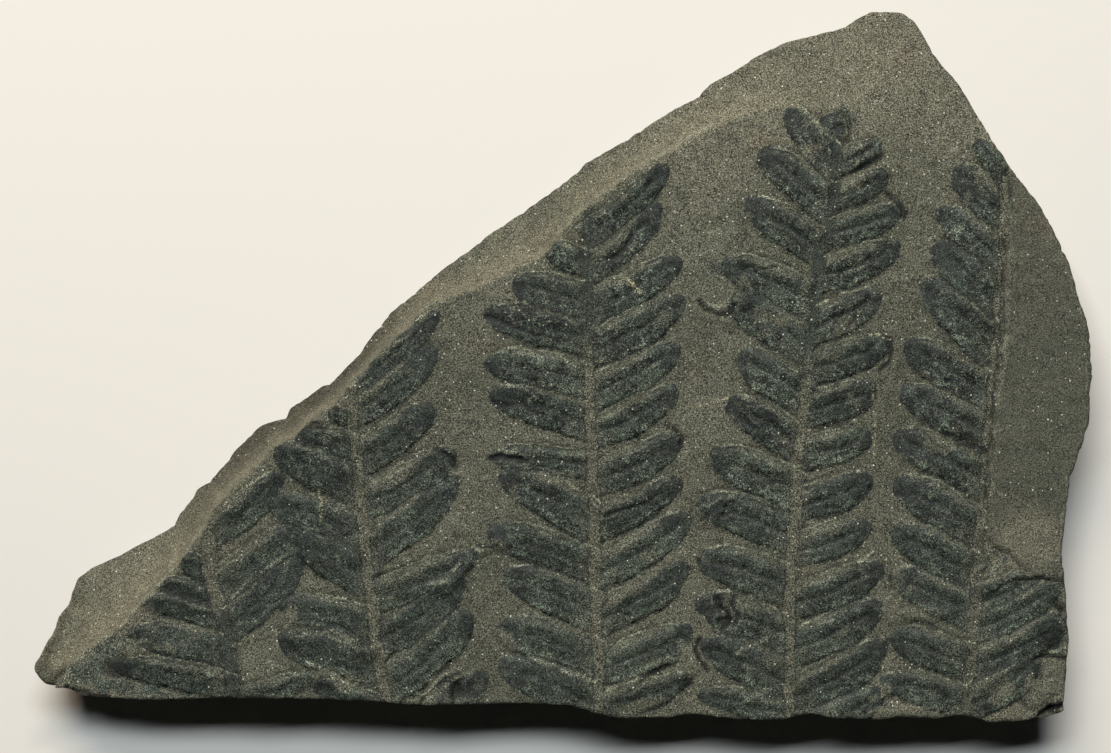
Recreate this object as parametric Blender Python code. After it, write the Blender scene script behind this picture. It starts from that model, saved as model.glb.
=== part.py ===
"""Fossil fern plate: one slab of dark shale split along its bedding. Five stalks of a seed fern lie side by
side on the split face, each with two rows of vaulted leaflets. The slab lies flat, its fern face up.

The plan is drawn on a grid: x to the right, y down the plate, in plan units of about 0.13 mm."""

import math

import bmesh
import bpy
import numpy as np
from mathutils import Vector
from mathutils.geometry import delaunay_2d_cdt

# Driving dimensions, in metres.
PLATE_LENGTH = 0.140  # the longest side of the plan
BED_HEIGHT = 0.0122  # the face that the fern lies on, over the underside
BAND_DROP = 0.0058  # how far the broken band falls from the fern face to the rim
BAND_DROP_TOP = 0.0022  # the same at the top of the plate, where the band dies out
FLAKE_STEP = 0.0007  # the layer that still covers the fern along the right side
LEAFLET_RELIEF = 0.0009  # the crest of a leaflet over the stone around it
MIDRIB_DEPTH = 0.00035  # the groove along a leaflet's middle
CREASE_DEPTH = 0.0003  # the crease round a leaflet's foot
STALK_RELIEF = 0.0003
FACE_WAVE = 0.0003  # the slow unevenness of the split face

# The broken sides, from the rim down: each ledge's height as a share of the rim's, how far it draws in as a
# share of the plan, and how much that varies round the plate.
SIDE_LEDGES = [(0.74, 0.008, 0.006), (0.46, 0.010, 0.007), (0.30, 0.026, 0.006), (0.0, 0.040, 0.004)]
SIDE_WAVES = 9.0  # bays round the plate

# The plan grid.
PLAN_LEFT, PLAN_RIGHT = 31.0, 1092.0
PLAN_TOP, PLAN_BOTTOM = 10.0, 723.0
UNIT = PLATE_LENGTH / (PLAN_RIGHT - PLAN_LEFT)

STALK_HALF_WIDTH = 5.5  # plan units, as all of the sizes below
GRID_STEP = 23.0  # spacing of the plain points between the leaflets
CLEARANCE = 9.0  # a plain point stays this far from every drawn point
TIP_START = 0.55  # share of a leaflet's length where its round tip starts
BASE_WIDTH = 0.90  # width of a leaflet at its stalk, as a share of its full width
BASE_LENGTH = 0.30  # share of its length over which it swells to the full width
LEFT_BEND, RIGHT_BEND = -0.03, 0.035  # how far a leaflet bows down the plate, as a share of its length

OUTLINE = [  # clockwise from the left corner
    (31, 668), (40, 651), (48, 635), (54, 618), (63, 605), (66, 594), (71, 580), (83, 572), (92, 566),
    (110, 560), (130, 548), (160, 533), (168, 527), (175, 514), (188, 499), (191, 491), (204, 483),
    (222, 463), (231, 450), (244, 438), (258, 424), (281, 419), (286, 408), (301, 399), (320, 385),
    (328, 382), (341, 369), (354, 356), (369, 335), (381, 321), (388, 311), (402, 300), (414, 290),
    (445, 264), (478, 240), (492, 229), (514, 215), (537, 199), (553, 187), (567, 177), (588, 158),
    (600, 152), (628, 136), (652, 120), (678, 104), (700, 93), (711, 81), (736, 68), (757, 54),
    (785, 40), (823, 31), (846, 25), (859, 16), (873, 10), (902, 12), (915, 21), (927, 40), (933, 53),
    (957, 81), (969, 101), (996, 145), (1010, 166), (1028, 190), (1040, 204), (1059, 242), (1068, 261),
    (1077, 292), (1087, 321), (1091, 350), (1092, 375), (1089, 398), (1089, 420), (1081, 447),
    (1071, 474), (1067, 500), (1063, 539), (1062, 559), (1066, 584), (1067, 611), (1070, 636),
    (1068, 660), (1065, 698), (1066, 714), (1040, 719), (1018, 722), (990, 723), (965, 716),
    (936, 719), (901, 717), (878, 720), (832, 718), (811, 713), (787, 719), (750, 721), (716, 718),
    (693, 714), (670, 718), (624, 719), (594, 714), (569, 706), (528, 704), (460, 705), (408, 705),
    (380, 702), (322, 700), (255, 698), (217, 698), (179, 700), (128, 700), (84, 697), (65, 689),
    (50, 689), (41, 685),
]
RIDGE = [  # the edge of the fern face along the broken band, from the left corner to the top
    (66, 668), (84, 652), (104, 636), (120, 626), (131, 616), (146, 598), (160, 583), (176, 566),
    (191, 547), (204, 530), (206, 521), (218, 506), (240, 481), (262, 462), (272, 450), (293, 437),
    (303, 427), (322, 412), (336, 404), (349, 386), (366, 369), (392, 342), (416, 318), (432, 305),
    (450, 299), (480, 286), (509, 272), (541, 258), (560, 238), (583, 208), (600, 197), (640, 167),
    (662, 156), (700, 134), (730, 120), (760, 110), (790, 105), (848, 107), (880, 84), (905, 54),
]
RIM_FIRST, RIM_LAST = (50, 689), (902, 12)  # the ends of the rim that the band runs to
FLAKE_EDGE = [  # the edge of the covering layer, from the top down
    (1010, 168), (1009, 200), (1007, 240), (1004, 290), (1001, 340), (998, 380), (994, 420), (990, 460),
    (987, 500), (986, 530), (992, 548), (1008, 553), (1020, 568), (1034, 577), (1047, 579), (1066, 582),
]
FLAKE_LAST = (1066, 584)  # where that edge meets the rim of the plate

# Each stalk from its top to the lower rim, and its leaflets: where the leaflet leaves the stalk (y), its tip
# (x, y), and its full width.
FRONDS = {
    "first": {
        "stalk": [(208, 540), (211, 580), (220, 610), (229, 645), (236, 697)],
        "left": [(578, 178, 556, 20), (600, 156, 582, 19), (620, 142, 601, 21), (653, 128, 632, 32),
                 (688, 110, 665, 26)],
        "right": [(537, 281, 474, 30), (588, 303, 522, 36), (628, 300, 555, 34), (700, 314, 674, 24)],
    },
    "second": {
        "stalk": [(351, 385), (355, 440), (359, 490), (364, 535), (369, 580), (374, 625), (378, 660),
                  (386, 701)],
        "left": [(424, 328, 410, 16), (447, 294, 434, 25), (490, 273, 450, 38), (534, 269, 503, 35),
                 (580, 291, 537, 38), (627, 280, 606, 34), (668, 279, 641, 36),
                 (714, 312, 686, 28)],
        "right": [(386, 438, 312, 24), (412, 436, 348, 33), (461, 432, 404, 34), (504, 454, 450, 35),
                  (552, 457, 476, 36), (597, 476, 553, 34), (642, 463, 580, 36), (690, 470, 611, 37),
                  (752, 486, 672, 34)],
    },
    "third": {
        "stalk": [(588, 205), (586, 260), (587, 320), (590, 400), (592, 460), (594, 520), (595, 600),
                  (598, 660), (601, 716)],
        "left": [(264, 546, 249, 26), (301, 513, 285, 35), (340, 484, 314, 35), (380, 485, 364, 36),
                 (423, 490, 395, 37), (466, 490, 456, 28), (524, 500, 474, 40), (568, 489, 531, 36),
                 (612, 504, 575, 39), (660, 501, 627, 39), (706, 499, 664, 38)],
        "right": [(236, 667, 165, 27), (274, 660, 206, 28), (309, 681, 257, 32), (350, 683, 300, 36),
                  (393, 678, 346, 32), (434, 678, 388, 33), (480, 681, 437, 33), (526, 680, 480, 32),
                  (574, 689, 516, 33), (620, 688, 564, 35), (668, 692, 628, 35), (704, 692, 676, 28)],
    },
    "fourth": {
        "stalk": [(838, 128), (836, 170), (833, 205), (826, 240), (818, 270), (814, 310), (809, 350),
                  (805, 400), (800, 440), (796, 480), (795, 520), (791, 560), (790, 600), (789, 650),
                  (789, 715)],
        "left": [(140, 829, 112, 26), (172, 786, 107, 33), (210, 760, 152, 36), (252, 744, 202, 36),
                 (302, 721, 263, 36), (349, 730, 300, 38), (396, 739, 356, 40), (446, 727, 401, 36),
                 (491, 711, 455, 39), (536, 698, 502, 39), (586, 698, 558, 38), (636, 697, 603, 38),
                 (684, 701, 643, 40), (716, 700, 694, 26)],
        "right": [(163, 880, 142, 24), (197, 886, 173, 26), (234, 903, 206, 28), (277, 900, 243, 33),
                  (326, 879, 293, 34), (368, 890, 340, 33), (410, 877, 387, 34), (455, 871, 433, 31),
                  (505, 873, 479, 33), (550, 871, 523, 33), (603, 883, 565, 34), (649, 882, 603, 36),
                  (698, 886, 643, 38), (738, 884, 688, 34)],
    },
    "fifth": {
        "stalk": [(1007, 175), (1004, 240), (1001, 290), (997, 340), (994, 380), (990, 420), (986, 460),
                  (983, 500), (980, 540), (976, 580), (974, 620), (971, 660), (966, 715)],
        "left": [(184, 976, 139, 20), (219, 954, 169, 35), (262, 938, 209, 35), (308, 934, 245, 37),
                 (352, 923, 283, 40), (397, 904, 344, 39), (437, 901, 390, 37), (480, 894, 436, 38),
                 (532, 893, 482, 38), (576, 892, 531, 39), (614, 889, 575, 37), (664, 891, 638, 35),
                 (703, 879, 680, 31)],
        "right": [(604, 1034, 574, 32), (629, 1062, 582, 31), (666, 1066, 618, 34), (704, 1039, 658, 36)],
    },
}


def share(value, first, last):
    """How far value has gone from first to last, from 0 to 1, eased at both ends."""
    t = np.clip((value - first) / (last - first), 0.0, 1.0)
    return t * t * (3.0 - 2.0 * t)


def line_distance(points, line):
    """Distance of each point to a polyline, in plan units."""
    best = np.full(len(points), 1e9)
    for a, b in zip(np.array(line[:-1], float), np.array(line[1:], float)):
        along = np.clip(((points - a) @ (b - a)) / ((b - a) @ (b - a)), 0.0, 1.0)
        best = np.minimum(best, np.linalg.norm(points - (a + along[:, None] * (b - a)), axis=1))
    return best


def inside(points, polygon):
    """Which points lie inside a closed polygon."""
    hit = np.zeros(len(points), bool)
    x, y = points[:, 0], points[:, 1]
    for (ax, ay), (bx, by) in zip(polygon, polygon[1:] + polygon[:1]):
        crosses = (ay > y) != (by > y)
        rise = by - ay if by != ay else 1.0
        hit ^= crosses & (x < (bx - ax) * (y - ay) / rise + ax)
    return hit


def stalk_x(stalk, y):
    """Where a stalk's middle line crosses height y of the plan."""
    ys = [p[1] for p in stalk]
    return float(np.interp(y, ys, [p[0] for p in stalk]))


class Leaflet:
    """One leaflet: a bowed middle line from its stalk to its tip, and a width along it."""

    def __init__(self, stalk, base_y, tip_x, tip_y, width, bend):
        self.base = np.array([stalk_x(stalk, base_y), base_y])
        self.tip = np.array([tip_x, tip_y], float)
        self.half_width = width / 2.0
        chord = self.tip - self.base
        self.length = float(np.linalg.norm(chord))
        down = np.array([-chord[1], chord[0]]) / self.length
        if down[1] < 0.0:
            down = -down
        self.knee = (self.base + self.tip) / 2.0 + 2.0 * bend * self.length * down

    def middle(self, s):
        return (1 - s) ** 2 * self.base + 2 * s * (1 - s) * self.knee + s * s * self.tip

    def across(self, s):
        way = (1 - s) * (self.knee - self.base) + s * (self.tip - self.knee)
        return np.array([-way[1], way[0]]) / np.linalg.norm(way)

    def half_width_at(self, s):
        return self.half_width * (BASE_WIDTH + (1.0 - BASE_WIDTH) * np.minimum(1.0, s / BASE_LENGTH))

    def place(self, s, lateral):
        """The plan point at share s of the length and lateral shares of the half width to one side."""
        return self.middle(s) + self.across(s) * lateral * self.half_width_at(s)

    def ring(self, size):
        """Points round the leaflet from one side of the stalk over the tip to the other side: size 1 is its
        foot, a smaller size lies inside."""
        stations = [(0.02, 1.0), (0.28, 1.0), (TIP_START, 1.0)]
        for angle in (34.0, 62.0):
            turn = math.radians(angle)
            stations.append((TIP_START + (1.0 - TIP_START) * size * math.sin(turn), math.cos(turn)))
        tip = (TIP_START + (1.0 - TIP_START) * size, 0.0)
        if size < 1.0:
            stations = stations[:-1]
        far_side = [(s, -v) for s, v in reversed(stations)]
        return [self.place(s, v * size) for s, v in stations + [tip] + far_side]

    def midrib(self):
        return [self.place(s, 0.0) for s in (0.02, 0.30, 0.55, 0.80)]

    def relief(self, points):
        """Height over the stone around, for plan points: the vault with its groove, or the crease."""
        steps = np.linspace(0.0, 1.0, 25)
        line = np.array([self.middle(s) for s in steps])
        sideways = np.array([self.across(s) for s in steps])
        nearest = np.argmin(((points[:, None, :] - line[None, :, :]) ** 2).sum(axis=2), axis=1)
        gap, normal = points - line[nearest], sideways[nearest]
        lateral = (gap * normal).sum(axis=1)
        s = steps[nearest] + (gap[:, 0] * normal[:, 1] - gap[:, 1] * normal[:, 0]) / self.length
        side = np.abs(lateral) / self.half_width_at(np.clip(s, 0.0, 1.0))
        tip = np.maximum(0.0, (s - TIP_START) / (1.0 - TIP_START))
        edge = np.hypot(side, tip)
        vault = LEAFLET_RELIEF * np.sqrt(np.clip(1.0 - edge ** 3, 0.0, 1.0)) - CREASE_DEPTH * edge ** 6
        groove = MIDRIB_DEPTH * np.exp(-((side / 0.25) ** 2)) * (1.0 - share(s, 0.80, 0.95))
        crease = -CREASE_DEPTH * (1.0 - share(edge, 1.0, 1.35))
        height = np.where(edge < 1.0, vault - groove, crease)
        return np.where((s < -0.02) | (edge > 1.35), np.nan, height)


def leaflets():
    """Every leaflet of the five stalks."""
    found = []
    for frond in FRONDS.values():
        for side, bend in (("left", LEFT_BEND), ("right", RIGHT_BEND)):
            for row in frond[side]:
                found.append(Leaflet(frond["stalk"], *row, bend))
    return found


def band_polygon():
    """The broken band between the ridge and the rim."""
    corner = OUTLINE[OUTLINE.index(RIM_FIRST):]
    return corner + OUTLINE[:OUTLINE.index(RIM_LAST) + 1] + RIDGE[::-1]


def flake_polygon():
    """The covering layer on the right, between its edge and the rim."""
    start, end = OUTLINE.index((1010, 166)), OUTLINE.index(FLAKE_LAST)
    return OUTLINE[start:end + 1] + FLAKE_EDGE[::-1]


def top_height(points, fern):
    """Height of the upper surface over the underside, in metres, at plan points."""
    x, y = points[:, 0], points[:, 1]
    wave = FACE_WAVE * (np.sin(x / 83.0 + 1.1) * np.cos(y / 71.0) + 0.6 * np.sin((x + 2.0 * y) / 59.0))
    height = BED_HEIGHT + wave

    raised = np.full(len(points), np.nan)
    for leaflet in fern:
        near = np.linalg.norm(points - leaflet.middle(0.5), axis=1) < leaflet.length
        raised[near] = np.fmax(raised[near], leaflet.relief(points[near]))
    for frond in FRONDS.values():
        near = line_distance(points, frond["stalk"]) < STALK_HALF_WIDTH + 0.5
        raised = np.where(near, np.fmax(raised, STALK_RELIEF), raised)
    raised = np.nan_to_num(raised)

    in_flake = inside(points, flake_polygon())
    flake = FLAKE_STEP * share(line_distance(points, FLAKE_EDGE), 0.0, 5.0)
    height += np.where(in_flake, flake, raised)

    band_rim = OUTLINE[:OUTLINE.index(RIM_LAST) + 1]
    from_ridge, from_rim = line_distance(points, RIDGE), line_distance(points, band_rim)
    in_band = inside(points, band_polygon()) | (from_rim < 0.5)
    run = from_ridge / (from_ridge + from_rim + 1e-6)
    drop = BAND_DROP + (BAND_DROP_TOP - BAND_DROP) * share(x, 560.0, 860.0)
    fall = drop * np.sin(run * math.pi / 2.0) ** 0.85
    return np.where(in_band, BED_HEIGHT + wave - fall, height)


def plan_drawing(fern):
    """The plan's points and the lines between them: the rim, the ridge, the covering layer, the stalks and
    the leaflets, with plain points in the open stone."""
    points, edges = [], []

    def draw(line, closed=False, keep=None):
        line = [(float(px), float(py)) for px, py in line]
        kept = keep(np.array(line)) if keep else [True] * len(line)
        first = len(points)
        points.extend(line)
        last = len(line) if closed else len(line) - 1
        for i in range(last):
            j = (i + 1) % len(line)
            if kept[i] and kept[j]:
                edges.append((first + i, first + j))
        for i in reversed(range(len(line))):
            if not kept[i]:
                points[first + i] = None

    face = RIDGE + OUTLINE[OUTLINE.index(RIM_LAST) + 1:]
    flake = flake_polygon()

    def on_fern_face(line):
        clear = (line_distance(line, RIDGE) > 2.5) & (line_distance(line, OUTLINE + OUTLINE[:1]) > 2.5)
        return inside(line, face) & ~inside(line, flake) & clear & (line_distance(line, FLAKE_EDGE) > 3.0)

    draw(OUTLINE, closed=True)
    draw(RIDGE)
    draw(FLAKE_EDGE)
    draw([(px + 5.0, py - 2.0) for px, py in FLAKE_EDGE[1:-2]])
    for leaflet in fern:
        draw(leaflet.ring(1.0), keep=on_fern_face)
        draw(leaflet.ring(0.55), keep=on_fern_face)
        draw(leaflet.midrib(), keep=on_fern_face)
    for frond in FRONDS.values():
        for offset in (-STALK_HALF_WIDTH, STALK_HALF_WIDTH):
            draw([(px + offset, py) for px, py in frond["stalk"]], keep=on_fern_face)

    taken = np.array([p for p in points if p])
    for gx in np.arange(PLAN_LEFT + 12.0, PLAN_RIGHT, GRID_STEP):
        for gy in np.arange(PLAN_TOP + 12.0, PLAN_BOTTOM, GRID_STEP):
            spot = np.array([[gx, gy]])
            if inside(spot, OUTLINE)[0] and np.linalg.norm(taken - spot, axis=1).min() > CLEARANCE:
                points.append((gx, gy))

    order = [i for i, p in enumerate(points) if p]
    place = {old: new for new, old in enumerate(order)}
    return [points[i] for i in order], [(place[a], place[b]) for a, b in edges]


def slab_mesh():
    """The slab: the plan filled and lifted to its heights, its sides drawn down to a flat underside."""
    fern = leaflets()
    points, edges = plan_drawing(fern)
    filled = delaunay_2d_cdt([Vector(p) for p in points], edges, [], 0, 0.4)
    plan = np.array([tuple(v) for v in filled[0]])
    heights = top_height(plan, fern)
    middle_x, middle_y = (PLAN_LEFT + PLAN_RIGHT) / 2.0, (PLAN_TOP + PLAN_BOTTOM) / 2.0

    bm = bmesh.new()
    verts = [
        bm.verts.new(((px - middle_x) * UNIT, (middle_y - py) * UNIT, z))
        for (px, py), z in zip(plan, heights)
    ]
    for triangle in filled[2]:
        centre = plan[list(triangle)].mean(axis=0)[None, :]
        if inside(centre, OUTLINE)[0]:
            bm.faces.new([verts[i] for i in triangle])
    bmesh.ops.delete(bm, geom=[v for v in bm.verts if not v.link_faces], context="VERTS")

    rim = [e for e in bm.edges if e.is_boundary]
    share_above, inset_above = 1.0, 0.0
    for number, (height_share, inset, variation) in enumerate(SIDE_LEDGES):
        grown = bmesh.ops.extrude_edge_only(bm, edges=rim)["geom"]
        for vert in (g for g in grown if isinstance(g, bmesh.types.BMVert)):
            turn = math.atan2(vert.co.y, vert.co.x)
            bay = variation * 0.5 * (1.0 + math.sin(SIDE_WAVES * turn + 2.3 * number))
            scale = (1.0 - inset) / (1.0 - inset_above) * (1.0 - bay)
            vert.co = (vert.co.x * scale, vert.co.y * scale, vert.co.z * height_share / share_above)
        rim = [g for g in grown if isinstance(g, bmesh.types.BMEdge)]
        share_above, inset_above = height_share, inset
    bmesh.ops.edgeloop_fill(bm, edges=[e for e in rim if e.is_boundary])
    bmesh.ops.recalc_face_normals(bm, faces=bm.faces)

    mesh = bpy.data.meshes.new("fern_plate")
    bm.to_mesh(mesh)
    bm.free()
    return mesh


def shale_material():
    """Dark grey-green shale."""
    material = bpy.data.materials.new("shale")
    material.use_nodes = True
    shader = material.node_tree.nodes["Principled BSDF"]
    shader.inputs["Base Color"].default_value = (0.085, 0.090, 0.068, 1.0)
    shader.inputs["Roughness"].default_value = 0.85
    shader.inputs["Metallic"].default_value = 0.0
    return material


def main():
    for old in list(bpy.data.objects):
        bpy.data.objects.remove(old)
    plate = bpy.data.objects.new("fern_plate", slab_mesh())
    plate.data.materials.append(shale_material())
    bpy.context.scene.collection.objects.link(plate)


main()
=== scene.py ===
import math

import bmesh
import bpy
import numpy as np
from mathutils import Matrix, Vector, noise


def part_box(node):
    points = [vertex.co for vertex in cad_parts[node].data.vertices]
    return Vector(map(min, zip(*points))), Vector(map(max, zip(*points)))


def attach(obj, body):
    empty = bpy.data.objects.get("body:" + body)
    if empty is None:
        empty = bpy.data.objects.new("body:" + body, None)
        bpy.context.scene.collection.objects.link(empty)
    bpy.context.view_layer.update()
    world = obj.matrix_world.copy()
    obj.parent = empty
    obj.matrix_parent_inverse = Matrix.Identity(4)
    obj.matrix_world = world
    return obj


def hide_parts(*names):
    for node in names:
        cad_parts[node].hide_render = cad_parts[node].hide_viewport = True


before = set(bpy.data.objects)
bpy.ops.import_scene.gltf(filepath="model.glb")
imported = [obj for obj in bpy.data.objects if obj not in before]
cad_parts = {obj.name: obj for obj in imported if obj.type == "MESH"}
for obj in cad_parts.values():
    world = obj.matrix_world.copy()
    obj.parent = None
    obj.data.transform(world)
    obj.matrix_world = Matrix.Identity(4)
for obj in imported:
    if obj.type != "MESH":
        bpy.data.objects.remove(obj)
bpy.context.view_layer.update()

# --------------------------------------------------------------------------------------------------
# The slab's plan: one piece of dark shale, split along its bedding and broken at its sides. It is drawn
# in plan units, x to the right and y down the plate, as the solid is, and scaled to the solid's length.

PLAN_LEFT, PLAN_RIGHT, PLAN_TOP, PLAN_BOTTOM = 31.0, 1092.0, 10.0, 723.0
plate_low, plate_high = (Vector(corner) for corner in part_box("fern_plate"))
PLATE_LENGTH = plate_high.x - plate_low.x
UNIT = PLATE_LENGTH / (PLAN_RIGHT - PLAN_LEFT)
PLAN_MIDDLE = np.array([(PLAN_LEFT + PLAN_RIGHT) / 2.0, (PLAN_TOP + PLAN_BOTTOM) / 2.0])

OUTLINE = [  # clockwise from the left corner
    (31, 668), (40, 651), (48, 635), (54, 618), (63, 605), (66, 594), (71, 580), (83, 572), (92, 566),
    (110, 560), (130, 548), (160, 533), (168, 527), (175, 514), (188, 499), (191, 491), (204, 483),
    (222, 463), (231, 450), (244, 438), (258, 424), (281, 419), (286, 408), (301, 399), (320, 385),
    (328, 382), (341, 369), (354, 356), (369, 335), (381, 321), (388, 311), (402, 300), (414, 290),
    (445, 264), (478, 240), (492, 229), (514, 215), (537, 199), (553, 187), (567, 177), (588, 158),
    (600, 152), (628, 136), (652, 120), (678, 104), (700, 93), (711, 81), (736, 68), (757, 54),
    (785, 40), (823, 31), (846, 25), (859, 16), (873, 10), (902, 12), (915, 21), (927, 40), (933, 53),
    (957, 81), (969, 101), (996, 145), (1010, 166), (1028, 190), (1040, 204), (1059, 242), (1068, 261),
    (1077, 292), (1087, 321), (1091, 350), (1092, 375), (1089, 398), (1089, 420), (1081, 447),
    (1071, 474), (1067, 500), (1063, 539), (1062, 559), (1066, 584), (1067, 611), (1070, 636),
    (1068, 660), (1065, 698), (1066, 714), (1040, 719), (1018, 722), (990, 723), (965, 716),
    (936, 719), (901, 717), (878, 720), (832, 718), (811, 713), (787, 719), (750, 721), (716, 718),
    (693, 714), (670, 718), (624, 719), (594, 714), (569, 706), (528, 704), (460, 705), (408, 705),
    (380, 702), (322, 700), (255, 698), (217, 698), (179, 700), (128, 700), (84, 697), (65, 689),
    (50, 689), (41, 685),
]
RIDGE = [  # the edge of the fern face along the broken band, from the left corner to the top
    (66, 668), (84, 652), (104, 636), (120, 626), (131, 616), (146, 598), (160, 583), (176, 566),
    (191, 547), (204, 530), (206, 521), (218, 506), (240, 481), (262, 462), (272, 450), (293, 437),
    (303, 427), (322, 412), (336, 404), (349, 386), (366, 369), (392, 342), (416, 318), (432, 305),
    (450, 299), (480, 286), (509, 272), (541, 258), (560, 238), (583, 208), (600, 197), (640, 167),
    (662, 156), (700, 134), (730, 120), (760, 110), (790, 105), (848, 107), (880, 84), (905, 54),
]
RIM_FIRST, RIM_LAST = (50, 689), (902, 12)  # the ends of the rim that the band runs to
FLAKE_EDGE = [  # the edge of the covering layer, from the top down
    (1010, 168), (1009, 200), (1007, 240), (1004, 290), (1001, 340), (998, 380), (994, 420), (990, 460),
    (987, 500), (986, 530), (992, 548), (1008, 553), (1020, 568), (1034, 577), (1047, 579), (1066, 582),
]
FLAKE_FIRST, FLAKE_LAST = (1010, 166), (1066, 584)  # the ends of the rim beside it


def line_distance(points, line):
    """Distance of each plan point to a polyline."""
    best = np.full(len(points), 1e9)
    for a, b in zip(np.array(line[:-1], float), np.array(line[1:], float)):
        along = np.clip(((points - a) @ (b - a)) / ((b - a) @ (b - a)), 0.0, 1.0)
        best = np.minimum(best, np.linalg.norm(points - (a + along[:, None] * (b - a)), axis=1))
    return best


def nearest_on(point, line):
    """The point of a closed polyline that lies nearest to a plan point."""
    a = np.array(line, float)
    b = np.roll(a, -1, axis=0)
    along = np.clip(((point - a) * (b - a)).sum(axis=1) / ((b - a) ** 2).sum(axis=1), 0.0, 1.0)
    spots = a + along[:, None] * (b - a)
    return spots[np.argmin(((spots - point) ** 2).sum(axis=1))]


def inside(points, polygon):
    """Which plan points lie inside a closed polygon."""
    hit = np.zeros(len(points), bool)
    x, y = points[:, 0], points[:, 1]
    for (ax, ay), (bx, by) in zip(polygon, polygon[1:] + polygon[:1]):
        rise = by - ay if by != ay else 1.0
        hit ^= ((ay > y) != (by > y)) & (x < (bx - ax) * (y - ay) / rise + ax)
    return hit


def share(value, first, last):
    """How far value has gone from first to last, from 0 to 1, eased at both ends."""
    t = np.clip((value - first) / (last - first), 0.0, 1.0)
    return t * t * (3.0 - 2.0 * t)


# --------------------------------------------------------------------------------------------------
# The fern: five stalks of a seed fern, each with two rows of vaulted leaflets, pressed in the mud and
# left as relief with a dark carbon film. "worn" says how far the film has gone from the stalk (0 to 1)
# at two heights (y), and "half_width" is half the stalk's width. A row of numbers is one leaflet: where
# it leaves the stalk (y), its tip (x, y), its full width, how dark its film is (0 to 1) and how much of
# its upper side is bare (0 to 1). Lengths are in plan units.

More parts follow.
